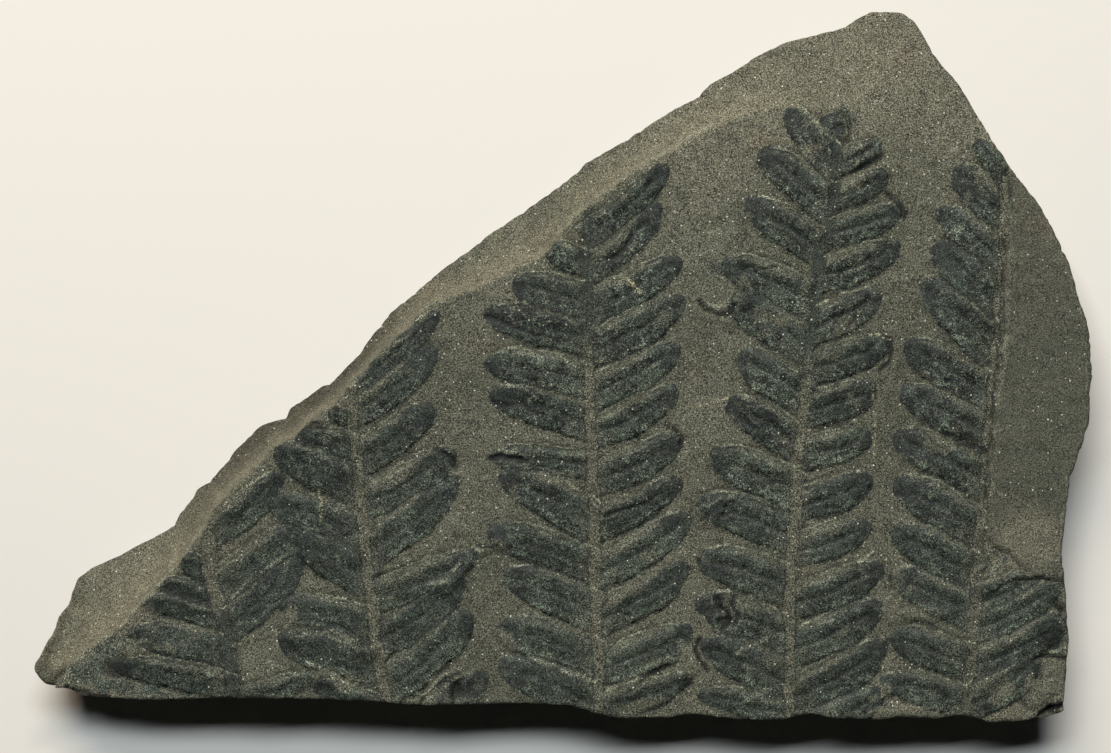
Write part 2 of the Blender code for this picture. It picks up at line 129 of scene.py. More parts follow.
FRONDS = {
    "first": {
        "worn": [(590, 1.0), (625, 0.1)], "half_width": 7.0,
        "stalk": [(208, 540), (211, 580), (220, 610), (229, 645), (236, 697)],
        "left": [
            (578, 178, 556, 20, 0.8, 0.0), (600, 156, 582, 19, 0.9, 0.2), (620, 142, 601, 21, 0.6, 0.1),
            (653, 128, 632, 32, 0.6, 0.3), (688, 110, 665, 26, 0.85, 0.2),
        ],
        "right": [
            (537, 281, 474, 30, 0.5, 0.5), (588, 303, 522, 36, 0.5, 0.6), (628, 300, 555, 34, 0.85, 0.3),
            (700, 314, 674, 24, 0.4, 0.3),
        ],
    },
    "second": {
        "worn": [(420, 0.6), (600, 1.0)], "half_width": 5.2,
        "stalk": [(351, 385), (355, 440), (359, 490), (364, 535), (369, 580), (374, 625), (378, 660),
                  (386, 701)],
        "left": [
            (424, 328, 410, 16, 0.5, 0.1), (447, 294, 434, 25, 0.8, 0.15), (490, 273, 450, 38, 0.75, 0.1),
            (534, 269, 503, 35, 0.55, 0.3), (580, 291, 537, 38, 0.75, 0.15),
            (627, 280, 606, 34, 0.7, 0.4),
            (668, 279, 641, 36, 0.7, 0.05), (714, 312, 686, 28, 0.5, 0.1),
        ],
        "right": [
            (386, 438, 312, 24, 0.7, 0.05), (412, 436, 348, 33, 0.6, 0.7), (461, 432, 404, 34, 0.65, 0.3),
            (504, 454, 450, 35, 0.4, 0.9), (552, 457, 476, 36, 0.6, 0.5), (597, 476, 553, 34, 0.3, 0.7),
            (642, 463, 580, 36, 0.6, 0.3), (690, 470, 611, 37, 0.4, 0.2), (752, 486, 672, 34, 0.6, 0.3),
        ],
    },
    "third": {
        "worn": [(300, 0.1), (400, 0.9)], "half_width": 5.2,
        "stalk": [(588, 205), (586, 260), (587, 320), (590, 400), (592, 460), (594, 520), (595, 600),
                  (598, 660), (601, 716)],
        "left": [
            (264, 546, 249, 26, 0.5, 0.1), (301, 513, 285, 35, 0.75, 0.15),
            (340, 484, 314, 35, 0.95, 0.2),
            (380, 485, 364, 36, 0.2, 0.35), (423, 490, 395, 37, 0.9, 0.4), (466, 490, 456, 28, 0.65, 0.1),
            (524, 500, 474, 40, 0.7, 0.3), (568, 489, 531, 36, 0.6, 0.2), (612, 504, 575, 39, 0.45, 0.35),
            (660, 501, 627, 39, 0.5, 0.2), (706, 499, 664, 38, 0.6, 0.25),
        ],
        "right": [
            (236, 667, 165, 27, 0.75, 0.1), (274, 660, 206, 28, 0.8, 0.8), (309, 681, 257, 32, 0.55, 0.4),
            (350, 683, 300, 36, 0.55, 0.4), (393, 678, 346, 32, 0.4, 0.6), (434, 678, 388, 33, 0.55, 0.5),
            (480, 681, 437, 33, 0.6, 0.35), (526, 680, 480, 32, 0.7, 0.35),
            (574, 689, 516, 33, 0.35, 0.55),
            (620, 688, 564, 35, 0.6, 0.7), (668, 692, 628, 35, 0.3, 0.5), (704, 692, 676, 28, 0.35, 0.6),
        ],
    },
    "fourth": {
        "worn": [(310, 0.0), (420, 0.9)], "half_width": 5.2,
        "stalk": [(838, 128), (836, 170), (833, 205), (826, 240), (818, 270), (814, 310), (809, 350),
                  (805, 400), (800, 440), (796, 480), (795, 520), (791, 560), (790, 600), (789, 650),
                  (789, 715)],
        "left": [
            (140, 829, 112, 26, 0.7, 0.0), (172, 786, 107, 33, 0.7, 0.4), (210, 760, 152, 36, 0.65, 0.3),
            (252, 744, 202, 36, 0.8, 0.45), (302, 721, 263, 36, 0.2, 0.3), (349, 730, 300, 38, 0.6, 0.4),
            (396, 739, 356, 40, 0.4, 0.35), (446, 727, 401, 36, 1.0, 0.4), (491, 711, 455, 39, 0.35, 0.3),
            (536, 698, 502, 39, 0.65, 0.15), (586, 698, 558, 38, 0.55, 0.35),
            (636, 697, 603, 38, 0.6, 0.3),
            (684, 701, 643, 40, 0.6, 0.3), (716, 700, 694, 26, 0.5, 0.2),
        ],
        "right": [
            (163, 880, 142, 24, 0.4, 0.3), (197, 886, 173, 26, 0.65, 0.5), (234, 903, 206, 28, 0.6, 0.4),
            (277, 900, 243, 33, 0.6, 0.5), (326, 879, 293, 34, 0.55, 0.3), (368, 890, 340, 33, 0.75, 0.3),
            (410, 877, 387, 34, 0.6, 0.5), (455, 871, 433, 31, 0.15, 0.5), (505, 873, 479, 33, 0.8, 0.2),
            (550, 871, 523, 33, 0.45, 0.7), (603, 883, 565, 34, 0.5, 0.4), (649, 882, 603, 36, 0.5, 0.3),
            (698, 886, 643, 38, 0.7, 0.55), (738, 884, 688, 34, 0.25, 0.2),
        ],
    },
    "fifth": {
        "worn": [(250, 1.0), (520, 0.6)], "half_width": 5.2,
        "stalk": [(1007, 175), (1004, 240), (1001, 290), (997, 340), (994, 380), (990, 420), (986, 460),
                  (983, 500), (980, 540), (976, 580), (974, 620), (971, 660), (966, 715)],
        "left": [
            (184, 976, 139, 20, 0.5, 0.2), (219, 954, 169, 35, 0.75, 0.5), (262, 938, 209, 35, 0.4, 0.5),
            (308, 934, 245, 37, 0.75, 0.25), (352, 923, 283, 40, 0.7, 0.45),
            (397, 904, 344, 39, 0.55, 0.5),
            (437, 901, 390, 37, 0.6, 0.5), (480, 894, 436, 38, 0.65, 0.3), (532, 893, 482, 38, 0.65, 0.4),
            (576, 892, 531, 39, 0.6, 0.3), (614, 889, 575, 37, 0.6, 0.5), (664, 891, 638, 35, 0.45, 0.3),
            (703, 879, 680, 31, 0.4, 0.3),
        ],
        "right": [
            (604, 1034, 574, 32, 0.45, 0.1), (629, 1062, 582, 31, 0.4, 0.3),
            (666, 1066, 618, 34, 0.6, 0.6),
            (704, 1039, 658, 36, 0.5, 0.6),
        ],
    },
}
FAR = 9.0  # where no leaflet or stalk is near
FOOT_START, TIP_START = -0.03, 0.52  # where a leaflet and its tip start, as shares of its length
CREASE_END = 1.15  # where the crease round a leaflet ends, as a share of its half width
FULLNESS = 1.10  # the leaflets press on their neighbours
BASE_WIDTH, BASE_LENGTH = 0.94, 0.30  # its narrower foot, as shares of its width and length
BENDS = {"left": -0.03, "right": 0.035}  # how far a leaflet bows down, as a share of its length


def foot(stalk, y):
    """The point of a stalk at a height."""
    return np.array([np.interp(y, [p[1] for p in stalk], [p[0] for p in stalk]), y])


def leaflet_field(points, stalk, side, row):
    """Where plan points lie on one leaflet: share of the length, share of the half width to the lower
    side, how near its edge they are, which is 1 on the edge itself, and the leaflet's length."""
    base_y, tip_x, tip_y, width = row[:4]
    base = foot(stalk, base_y)
    tip = np.array([tip_x, tip_y], float)
    chord = tip - base
    length = np.linalg.norm(chord)
    down = np.array([-chord[1], chord[0]]) / length
    down *= 1.0 if down[1] > 0.0 else -1.0
    knee = (base + tip) / 2.0 + 2.0 * BENDS[side] * length * down

    steps = np.linspace(0.0, 1.0, 33)[:, None]
    line = (1 - steps) ** 2 * base + 2 * steps * (1 - steps) * knee + steps ** 2 * tip
    ways = (1 - steps) * (knee - base) + steps * (tip - knee)
    ways /= np.linalg.norm(ways, axis=1)[:, None]
    sideways = np.stack([-ways[:, 1], ways[:, 0]], axis=1)
    sideways *= np.sign(sideways @ down)[:, None]
    nearest = np.argmin(((points[:, None, :] - line[None, :, :]) ** 2).sum(axis=2), axis=1)
    gap = points - line[nearest]
    s = steps[nearest, 0] + (gap * ways[nearest]).sum(axis=1) / length
    lateral = (gap * sideways[nearest]).sum(axis=1)
    swell = BASE_WIDTH + (1.0 - BASE_WIDTH) * np.clip(s / BASE_LENGTH, 0.0, 1.0)
    across = lateral / (FULLNESS * width / 2.0 * swell)
    tip_run = np.maximum(0.0, (s - TIP_START) / (1.0 - TIP_START))
    return s, across, np.hypot(across, tip_run), length


# --------------------------------------------------------------------------------------------------
# The slab's face: a fine net over the plan, lifted to the split face, the broken band beside it, the
# covering layer on the right, the stalks and the leaflets. Heights are in metres over the underside.

CELL = 0.000322  # the net's mesh width
BED_HEIGHT = 0.0120
BAND_DROP, BAND_DROP_TOP = 0.0058, 0.0022  # how far the band falls to the rim, low and high on the plate
RIM_WIDTH = 4.0  # the outermost plan units, which are the band's wherever it runs
FLAKE_STEP = 0.0007
LEAFLET_RELIEF = 0.00098
MIDRIB_DEPTH = 0.00028
CREASE_DEPTH = 0.00020
STALK_RELIEF = 0.00020
LIP_HEIGHT = 0.00012
FACE_WAVE, FACE_SWELL, GRIT_HEIGHT = 0.00025, 0.00008, 0.00005
HEADROOM, SOFT_TOP = 0.0004, 0.00035  # the face is bent flat over the last of these under the solid's top


def to_plan(places):
    """Plan points of places in metres."""
    return np.stack([PLAN_MIDDLE[0] + places[:, 0] / UNIT, PLAN_MIDDLE[1] - places[:, 1] / UNIT], 1)


def rough(points, size, octaves=3, seed=0.0):
    """Smooth random heights, about -1 to 1, over plan points; size is their width in plan units."""
    return np.array([
        noise.fractal((px / size, py / size, seed), 0.9, 2.1, octaves) for px, py in points
    ])


def near_leaflet(points, frond, row):
    """Which plan points can lie on one leaflet."""
    root = foot(frond["stalk"], row[0])
    middle = (root + np.array(row[1:3])) / 2.0
    reach = 0.62 * np.linalg.norm(root - row[1:3]) + 22.0
    return np.nonzero(np.linalg.norm(points - middle, axis=1) < reach)[0]


def leaf_edges(points):
    """How near each plan point is to a leaflet's edge, which is 1 on the edge, over all leaflets."""
    nearest = np.full(len(points), FAR)
    for frond in FRONDS.values():
        for side in ("left", "right"):
            for row in frond[side]:
                near = near_leaflet(points, frond, row)
                s, _, edge, _ = leaflet_field(points[near], frond["stalk"], side, row)
                edge = np.where(s > FOOT_START, edge, FAR)
                nearest[near] = np.minimum(nearest[near], edge)
    return nearest


def warp(points):
    """The slow and quick waver of every outline in the stone."""
    slow = np.stack([rough(points, 31.0, 2, 3.0), rough(points, 31.0, 2, 13.0)], axis=1)
    quick = np.stack([rough(points, 9.0, 2, 23.0), rough(points, 9.0, 2, 33.0)], axis=1)
    return 2.6 * slow + 1.3 * quick


def leaflet_vault(across, tip_run):
    """Height of a leaflet, as a share of its relief: up over the bare upper margin, down a long dark
    flank to a sharp lower edge, and flattening out at the tip."""
    upper = 0.05 + 0.95 * share(across, -1.06, -0.60)
    lower = 1.0 - 0.74 * np.clip((across + 0.60) / 1.60, 0.0, 1.0) ** 1.2
    return np.where(across < -0.60, upper, lower) * (1.0 - 0.80 * share(tip_run, 0.0, 1.05))


def patch_field(points, patch):
    """How far plan points lie from the middle of an oval patch: 1 on its edge."""
    px, py, half_long, half_short, turn = patch[:5]
    cos, sin = math.cos(math.radians(turn)), math.sin(math.radians(turn))
    gap = points - (px, py)
    return np.hypot((gap[:, 0] * cos + gap[:, 1] * sin) / half_long,
                    (gap[:, 1] * cos - gap[:, 0] * sin) / half_short)


def left_of(points, line):
    """Distance to a polyline, above 0 to the left of its direction and below 0 to the right."""
    best, signed = np.full(len(points), 1e9), np.zeros(len(points))
    for a, b in zip(np.array(line[:-1], float), np.array(line[1:], float)):
        along = np.clip(((points - a) @ (b - a)) / ((b - a) @ (b - a)), 0.0, 1.0)
        gap = points - (a + along[:, None] * (b - a))
        away = np.linalg.norm(gap, axis=1)
        turn = (b - a)[1] * gap[:, 0] - (b - a)[0] * gap[:, 1]
        closer = away < best
        best[closer], signed[closer] = away[closer], (np.sign(turn) * away)[closer]
    return signed


# Places where a thin layer of stone still covers the film: middle (x, y), half sizes, turn in degrees,
# height.
COVERS = [
    (938, 441, 16, 9, 12, 0.0003), (918, 615, 22, 8, 4, 0.0003), (729, 608, 8, 17, 8, 0.0003),
    (690, 660, 11, 20, -20, 0.00025), (320, 586, 24, 9, 4, 0.0002), (289, 616, 11, 14, 30, 0.0002),
    (745, 392, 14, 6, 20, 0.0003), (560, 480, 26, 9, 8, 0.0003), (500, 545, 12, 7, 20, 0.0002),
    (1000, 690, 16, 8, -35, 0.0003), (1040, 690, 20, 16, 0, 0.0004), (640, 705, 30, 8, -20, 0.0003),
    (433, 690, 12, 12, -50, 0.0004), (118, 650, 26, 7, -25, 0.0002), (905, 712, 40, 6, 0, 0.0002),
    (505, 640, 14, 6, 30, 0.0003), (672, 226, 10, 14, 50, 0.0002), (885, 690, 8, 9, 0, 0.0003),
    (770, 320, 20, 7, 22, 0.0002), (845, 325, 14, 9, -30, 0.0002), (340, 678, 26, 6, 10, 0.0003),
]
# Cracks, and undercut edges with a painted shadow under them: half width, depth, how dark, and the line.
CRACKS_AND_SHADOWS = [
    (2.6, 0.0006, 1.0, [(701, 303), (708, 309), (716, 313), (725, 314), (734, 307)]),
    (1.4, 0.0003, 0.8, [(765, 217), (777, 222), (789, 229), (801, 238)]),
    (1.0, 0.0002, 0.8, [(741, 266), (760, 268), (776, 265)]),
    (2.0, 0.0004, 0.8, [(886, 193), (893, 199), (899, 205), (908, 212), (904, 220)]),
    (1.8, 0.0003, 0.8, [(888, 243), (897, 250), (894, 258)]),
    (2.6, 0.0004, 0.7, [(852, 172), (862, 167), (874, 163), (880, 158)]),
    (1.6, 0.0003, 0.7, [(848, 326), (857, 318), (856, 309), (866, 303), (868, 295)]),
    (2.0, 0.0004, 0.8, [(890, 338), (892, 350), (888, 364), (879, 371)]),
    (1.5, 0.0003, 0.7, [(700, 520), (714, 512), (724, 518), (738, 512)]),
    (2.4, 0.0006, 1.0, [(716, 598), (719, 608), (727, 612), (730, 621), (722, 628)]),
    (1.8, 0.0005, 0.9, [(735, 596), (731, 604), (737, 612), (734, 624)]),
    (2.4, 0.0005, 0.9, [(700, 638), (695, 648), (698, 660), (707, 671)]),
    (1.6, 0.0004, 0.8, [(872, 487), (867, 494), (858, 501)]),
    (1.6, 0.0004, 0.9, [(487, 317), (499, 319), (512, 325), (527, 330), (543, 334)]),
    (1.6, 0.0003, 0.9, [(493, 402), (506, 407), (520, 405), (531, 410), (545, 416)]),
    (2.4, 0.0004, 0.8, [(608, 262), (618, 256), (628, 244), (634, 236)]),
    (2.2, 0.0005, 0.9, [(666, 427), (676, 430), (683, 437), (680, 446)]),
    (1.5, 0.0004, 0.9, [(604, 516), (616, 511), (628, 509), (641, 503)]),
    (2.6, 0.0005, 0.9, [(489, 459), (499, 456), (512, 457), (527, 460)]),
    (2.4, 0.0005, 0.9, [(944, 432), (957, 438), (970, 445), (985, 451)]),
    (1.3, 0.0003, 0.8, [(1000, 585), (1013, 577), (1031, 578), (1048, 579)]),
    (1.8, 0.0006, 1.0, [(1034, 660), (1046, 657), (1058, 658), (1068, 659)]),
    (2.6, 0.0010, 1.0, [(1040, 716), (1052, 709), (1066, 705)]),
    (1.8, 0.0004, 0.9, [(306, 427), (315, 422), (327, 428)]),
    (2.2, 0.0005, 0.9, [(452, 702), (455, 690), (461, 680)]),
    (2.6, 0.0004, 0.8, [(437, 449), (447, 455), (456, 466)]),
    (2.4, 0.0006, 0.9, [(66, 688), (78, 692), (92, 697), (106, 699)]),
    (1.5, 0.0003, 0.7, [(420, 702), (432, 690), (446, 680), (460, 674)]),
    (1.4, 0.0003, 0.8, [(478, 544), (486, 548), (497, 545)]),
    (1.6, 0.0004, 0.8, [(676, 662), (662, 668), (648, 676), (630, 690)]),
    (1.4, 0.0003, 0.7, [(300, 436), (310, 446), (324, 448)]),
    (1.4, 0.0003, 0.7, [(1058, 600), (1065, 608), (1060, 616)]),
    (1.2, 0.0001, 0.7, [(1004, 236), (1001, 290), (998, 340), (995, 380), (991, 420), (987, 460),
                        (984, 500)]),
    (0.9, 0.0002, 0.5, [(676, 186), (684, 203), (695, 232), (701, 262)]),
    (1.3, 0.0002, 0.7, [(1012, 170), (1010, 196), (1013, 214)]),
    (0.9, 0.0001, 0.6, [(201, 560), (206, 590), (213, 620), (222, 660), (226, 690)]),
]
# Sharp lips of stone that catch the light, with a painted highlight on them: half width, how bright, and
# the line.
LIPS = [
    (1.4, 1.0, [(699, 299), (709, 304), (718, 307), (730, 302)]),
    (1.6, 0.8, [(800, 106), (812, 117), (824, 130), (835, 141)]),
    (1.5, 0.9, [(503, 637), (523, 650), (548, 668), (570, 676), (592, 681)]),
    (1.4, 0.9, [(303, 634), (318, 634), (332, 630), (345, 635), (358, 640)]),
    (1.5, 0.9, [(306, 660), (325, 671), (347, 680), (368, 684)]),
    (1.5, 0.8, [(427, 584), (444, 580), (452, 570), (461, 564)]),
    (1.6, 0.9, [(418, 701), (430, 688), (445, 677), (461, 671)]),
    (1.5, 0.9, [(117, 648), (128, 640), (147, 639), (158, 650)]),
    (1.3, 0.9, [(205, 521), (184, 556), (165, 577), (142, 603), (122, 625), (96, 644), (70, 665)]),
    (1.4, 0.7, [(230, 598), (252, 577), (276, 562), (298, 549)]),
    (1.5, 0.8, [(738, 652), (750, 646), (768, 640), (782, 634)]),
    (1.4, 0.8, [(744, 702), (757, 695), (772, 688)]),
    (1.3, 0.9, [(727, 396), (736, 394), (746, 397)]),
    (1.3, 0.8, [(558, 356), (568, 362), (582, 372)]),
    (1.4, 0.9, [(928, 241), (937, 233), (947, 231)]),
    (1.3, 0.8, [(950, 436), (964, 442), (988, 447)]),
    (1.4, 1.0, [(1052, 653), (1060, 649), (1067, 646)]),
    (1.6, 0.6, [(1008, 196), (1010, 214), (1008, 236)]),
    (1.4, 0.8, [(486, 379), (500, 384), (518, 388), (532, 396)]),
    (1.3, 0.8, [(461, 539), (470, 546), (479, 551), (489, 548)]),
    (1.4, 0.8, [(862, 560), (872, 552), (888, 548)]),
    (1.4, 0.7, [(880, 616), (884, 603), (893, 592)]),
    (1.4, 0.7, [(872, 678), (880, 686), (884, 696)]),
    (1.3, 0.8, [(486, 452), (500, 449), (516, 452), (532, 458)]),
    (1.3, 0.7, [(722, 498), (710, 505), (698, 508)]),
    (1.4, 0.8, [(1003, 583), (1014, 574), (1030, 574), (1046, 576)]),
    (1.3, 0.7, [(655, 661), (668, 657), (680, 660)]),
    (1.2, 0.7, [(266, 664), (290, 672), (318, 676)]),
    (1.4, 0.7, [(600, 697), (620, 684), (640, 672), (656, 662)]),
    (1.4, 0.6, [(1010, 240), (1007, 290), (1004, 340), (1001, 380), (997, 420), (993, 460),
                (990, 500)]),
    (1.6, 0.7, [(560, 232), (583, 203), (600, 193), (640, 164), (662, 153), (700, 131), (730, 118)]),
]
# Deep chips and crevices, painted dark inside as shade: middle (x, y), half sizes, turn in degrees,
# depth.
CHIPS = [
    (724, 619, 7, 4, 15, 0.0006), (456, 690, 6, 11, 0, 0.0005), (1062, 609, 6, 5, 0, 0.0005),
    (1055, 713, 9, 5, -15, 0.0012), (744, 423, 12, 5, 40, 0.0003), (120, 667, 24, 13, -14, 0.0002),
    (862, 166, 11, 5, -30, 0.0003), (966, 440, 20, 7, 24, 0.0003), (1052, 640, 14, 17, 0, 0.0002),
]
# Small scarps where a layer ends: the stone left of the line's direction stands higher. Height, how far
# the rise reaches, and the line.
SCARPS = [
    (0.00045, 22, [(733, 304), (725, 312), (716, 311), (710, 308), (701, 301)]),
    (0.00030, 30, [(465, 539), (477, 549), (481, 556), (495, 550)]),
    (0.00025, 26, [(721, 447), (716, 443), (708, 437), (699, 434)]),
    (0.00030, 18, [(461, 565), (447, 580), (427, 585)]),
    (0.00030, 20, [(368, 641), (345, 636), (331, 631), (317, 635), (306, 634)]),
    (0.00030, 20, [(365, 683), (346, 681), (325, 672), (304, 660)]),
    (0.00035, 18, [(461, 671), (441, 677), (420, 701)]),
    (0.00030, 16, [(719, 520), (724, 506), (742, 495)]),
    (0.00030, 24, [(945, 607), (918, 606), (899, 607)]),
    (0.00040, 22, [(681, 662), (672, 660), (655, 664), (607, 697)]),
    (0.00025, 20, [(889, 342), (886, 361), (884, 385)]),
    (0.00030, 24, [(640, 165), (600, 190), (572, 199), (555, 203)]),
    (0.00035, 26, [(302, 436), (280, 446), (258, 468), (228, 498)]),
    (0.00020, 24, [(740, 265), (761, 268), (776, 265)]),
    (0.00030, 30, [(1008, 540), (1040, 500), (1062, 470)]),
    (0.00030, 20, [(137, 637), (149, 638), (153, 649), (174, 656), (200, 661)]),
    (0.00025, 22, [(505, 338), (490, 328), (486, 316)]),
    (0.00040, 30, [(1000, 585), (1013, 576), (1031, 577), (1048, 578)]),
]
# Dark film that lies on the stone outside the leaflets: middle, half sizes, turn in degrees, strength.
SMEARS = [
    (84, 671, 22, 12, -32, 1.0), (150, 686, 70, 12, 2, 1.0), (110, 650, 20, 10, -30, 0.8),
    (190, 660, 50, 10, 4, 0.8), (180, 615, 30, 10, 10, 0.7), (176, 590, 16, 8, 0, 0.6),
    (840, 116, 15, 11, 10, 0.9), (553, 471, 11, 10, 0, 0.7), (992, 560, 15, 9, 0, 0.7),
    (1056, 640, 16, 18, 0, 0.8), (452, 688, 12, 12, 0, 0.7), (420, 690, 10, 10, 40, 0.4),
    (640, 690, 30, 12, -20, 0.5), (1012, 262, 6, 10, 0, 0.3), (736, 606, 12, 20, 10, 0.5),
    (206, 676, 26, 8, 8, 0.5), (345, 700, 26, 8, 0, 0.5), (560, 694, 34, 9, 10, 0.5),
    (716, 268, 14, 9, 20, 0.6), (1040, 600, 20, 12, 30, 0.5), (850, 700, 30, 9, -14, 0.5),
]
# Cream streaks of calcite: half width, and the line.
STREAKS = [
    (1.8, [(626, 278), (640, 293)]), (1.3, [(318, 490), (322, 523)]), (0.8, [(872, 382), (876, 466)]),
    (1.2, [(700, 406), (728, 398)]), (0.9, [(465, 541), (483, 554)]),
    (1.0, [(890, 340), (868, 333)]),
]


def face_shape(points):
    """The face at plan points: its height, and the fields that the finish reads."""
    x, y = points[:, 0], points[:, 1]
    count = len(points)
    wave = FACE_WAVE * (np.sin(x / 83.0 + 1.1) * np.cos(y / 71.0) + 0.6 * np.sin((x + 2.0 * y) / 59.0))
    bent = points + warp(points)

    height = np.zeros(count)
    nearest = np.full(count, FAR)
    along, reach, sideways = np.zeros(count), np.zeros(count), np.zeros(count)
    dark, bare = np.zeros(count), np.zeros(count)
    number = 0
    for frond in FRONDS.values():
        for side in ("left", "right"):
            for row in frond[side]:
                number += 1
                chance = [math.sin(number * k) * 0.5 + 0.5 for k in (12.9898, 78.233, 37.719)]
                near = near_leaflet(bent, frond, row)
                s, across, edge, length = leaflet_field(bent[near], frond["stalk"], side, row)
                tip_run = np.clip((s - TIP_START) / (1.0 - TIP_START), 0.0, 1.0)
                flank = np.sqrt(np.clip(1.0 - tip_run ** 2, 0.04, 1.0))
                vault = leaflet_vault(np.clip(across / flank, -1.0, 1.0), tip_run)
                relief = LEAFLET_RELIEF * (0.75 + 0.45 * chance[1])
                relief = relief * (0.50 + 0.50 * share(s, 0.0, 0.35))
                groove = np.exp(-(((across - 0.05) / 0.12) ** 2))
                groove *= 1.0 - share(s, 0.45 + 0.3 * chance[2], 0.9)
                crease = CREASE_DEPTH * (1.0 - 0.9 * share(tip_run, 0.0, 0.5))
                lift = relief * vault - MIDRIB_DEPTH * max(0.0, 1.3 * chance[2] - 0.3) * groove
                lift = np.where(edge < 1.0, lift, -crease * (1.0 - share(edge, 1.0, CREASE_END)))
                taken = (s > FOOT_START) & (edge < CREASE_END) & (edge < nearest[near])
                picked = near[taken]
                height[picked] = lift[taken]
                along[picked] = (s * length)[taken]
                reach[picked] = s[taken]
                sideways[picked] = across[taken]
                dark[picked], bare[picked] = row[4], row[5]
                nearest[picked] = edge[taken]
    lumps = 0.00007 * rough(points, 13.0, 3, 17.0) + 0.00006 * rough(points, 6.0, 2, 27.0)
    height += lumps * (nearest < 1.1)

    # The stalks, flat ribbons over the leaflets' feet.
    stalk, worn_stalk = np.full(count, FAR), np.zeros(count)
    for frond in FRONDS.values():
        gap = line_distance(bent, frond["stalk"]) / frond["half_width"]
        closer = gap < stalk
        stalk[closer] = gap[closer]
        (first_y, first_worn), (last_y, last_worn) = frond["worn"]
        worn_stalk[closer] = (first_worn + (last_worn - first_worn) * share(y, first_y, last_y))[closer]
    flat_stalk = np.maximum(np.minimum(height, STALK_RELIEF * 1.2), STALK_RELIEF)
    height += (flat_stalk - height) * (1.0 - share(stalk, 0.4, 1.5))

    # What lies over the leaflets, and what has broken off them.
    cover, chip_shade, streak = np.zeros(count), np.zeros(count), np.zeros(count)
    for patch in COVERS:
        on = 1.0 - share(patch_field(bent + 1.5 * (bent - points), patch), 0.75, 1.08)
        height += on * (np.maximum(height, 0.0) * -0.55 + patch[5])
        cover = np.maximum(cover, on)
    for line_height, rise, line in SCARPS:
        near = np.nonzero(line_distance(points, line) < rise * 1.4)[0]
        from_line = left_of(bent[near], line)
        ends = np.minimum(*(np.linalg.norm(bent[near] - line[end], axis=1) for end in (0, -1)))
        fade = share(ends, 0.0, 7.0) * (1.0 - share(np.abs(from_line), 0.25 * rise, rise))
        height[near] += line_height * fade * share(from_line, -0.9, 0.9)
    for patch in CHIPS:
        deep = 1.0 - share(patch_field(bent + bent - points, patch), 0.45, 1.1)
        height -= patch[5] * deep
        chip_shade = np.maximum(chip_shade, deep)
    crack_and_shadow, lip_highlight = np.zeros(count), np.zeros(count)
    for half, deepness, darkness, line in CRACKS_AND_SHADOWS:
        on = 1.0 - share(line_distance(bent, line) / half, 0.35, 1.5)
        height -= deepness * on
        crack_and_shadow = np.maximum(crack_and_shadow, darkness * on)
    for half, bright, line in LIPS:
        on = bright * (1.0 - share(line_distance(bent, line) / half, 0.4, 1.6))
        height += LIP_HEIGHT * on
        lip_highlight = np.maximum(lip_highlight, on)
    smear = np.zeros(count)
    for patch in SMEARS:
        on = 1.0 - share(patch_field(bent + 1.5 * (bent - points), patch), 0.8, 1.05)
        smear = np.maximum(smear, patch[5] * on)
    for half, line in STREAKS:
        streak = np.maximum(streak, 1.0 - share(line_distance(bent, line) / half, 0.6, 1.5))

    # The covering layer on the right, and the broken band on the left.
    band_rim = OUTLINE[OUTLINE.index(RIM_FIRST):] + OUTLINE[:OUTLINE.index(RIM_LAST) + 1]
    band_polygon = band_rim + RIDGE[::-1]
    flake_polygon = OUTLINE[OUTLINE.index(FLAKE_FIRST):OUTLINE.index(FLAKE_LAST) + 1] + FLAKE_EDGE[::-1]
    in_flake = inside(bent, flake_polygon)
    flake = share(line_distance(bent, FLAKE_EDGE), 0.0, 4.0) * in_flake
    height = np.where(in_flake, FLAKE_STEP * flake + 0.00006 * rough(points, 45.0, 3, 41.0), height)

    from_ridge, from_rim = line_distance(bent, RIDGE), line_distance(points, band_rim)
    in_band = inside(bent, band_polygon) | (from_rim < RIM_WIDTH)
    run = from_ridge / (from_ridge + from_rim + 1e-6) * in_band
    drop = BAND_DROP + (BAND_DROP_TOP - BAND_DROP) * share(x, 560.0, 860.0)
    drop = drop * share(x, 903.0, 850.0) * share(x, 24.0, 74.0)
    fall = drop * np.sin(run * math.pi / 2.0) ** 0.85
    swell = 0.00030 * rough(points, 34.0, 4, 8.0)
    height = np.where(in_band, swell * share(run, 0.0, 0.12) - fall, height)

    # The stone's own wave and grit, kept under the solid's top.
    height += BED_HEIGHT + wave + GRIT_HEIGHT * rough(points, 6.0, 3, 5.0)
    height += FACE_SWELL * rough(points * (0.45, 1.0), 18.0, 3, 51.0)
    ceiling = plate_high.z - HEADROOM
    over = height - ceiling
    height = np.where(over > 0.0, ceiling + SOFT_TOP * np.tanh(over / SOFT_TOP), height)
    hidden = in_band | in_flake
    return {
        "height": height, "along": along, "reach": reach, "sideways": sideways, "dark": dark,
        "bare": bare, "film": np.where(hidden, FAR, nearest), "stalk": np.where(hidden, FAR, stalk),
        "run": run, "flake": flake, "cover": cover, "chip_shade": chip_shade, "streak": streak, "crack_and_shadow": crack_and_shadow,
        "lip_highlight": lip_highlight, "smear": smear, "worn_stalk": worn_stalk,
    }


# The rim as it broke: the outline in short steps, nibbled back unevenly.
RIM_STEP, RIM_BITES = 3.0, (0.2, 2.2)
RIM = []
for a, b in zip(np.array(OUTLINE, float), np.array(OUTLINE[1:] + OUTLINE[:1], float)):
    steps = max(1, round(np.linalg.norm(b - a) / RIM_STEP))
    inward = np.array([a[1] - b[1], b[0] - a[0]]) / np.linalg.norm(b - a)
    for number in range(steps):
        spot = a + (b - a) * number / steps
        bite = abs(noise.fractal((spot[0] / 11.0, spot[1] / 11.0, 2.0), 0.6, 2.0, 4))
        RIM.append(tuple(spot + (RIM_BITES[0] + RIM_BITES[1] * bite) * inward))

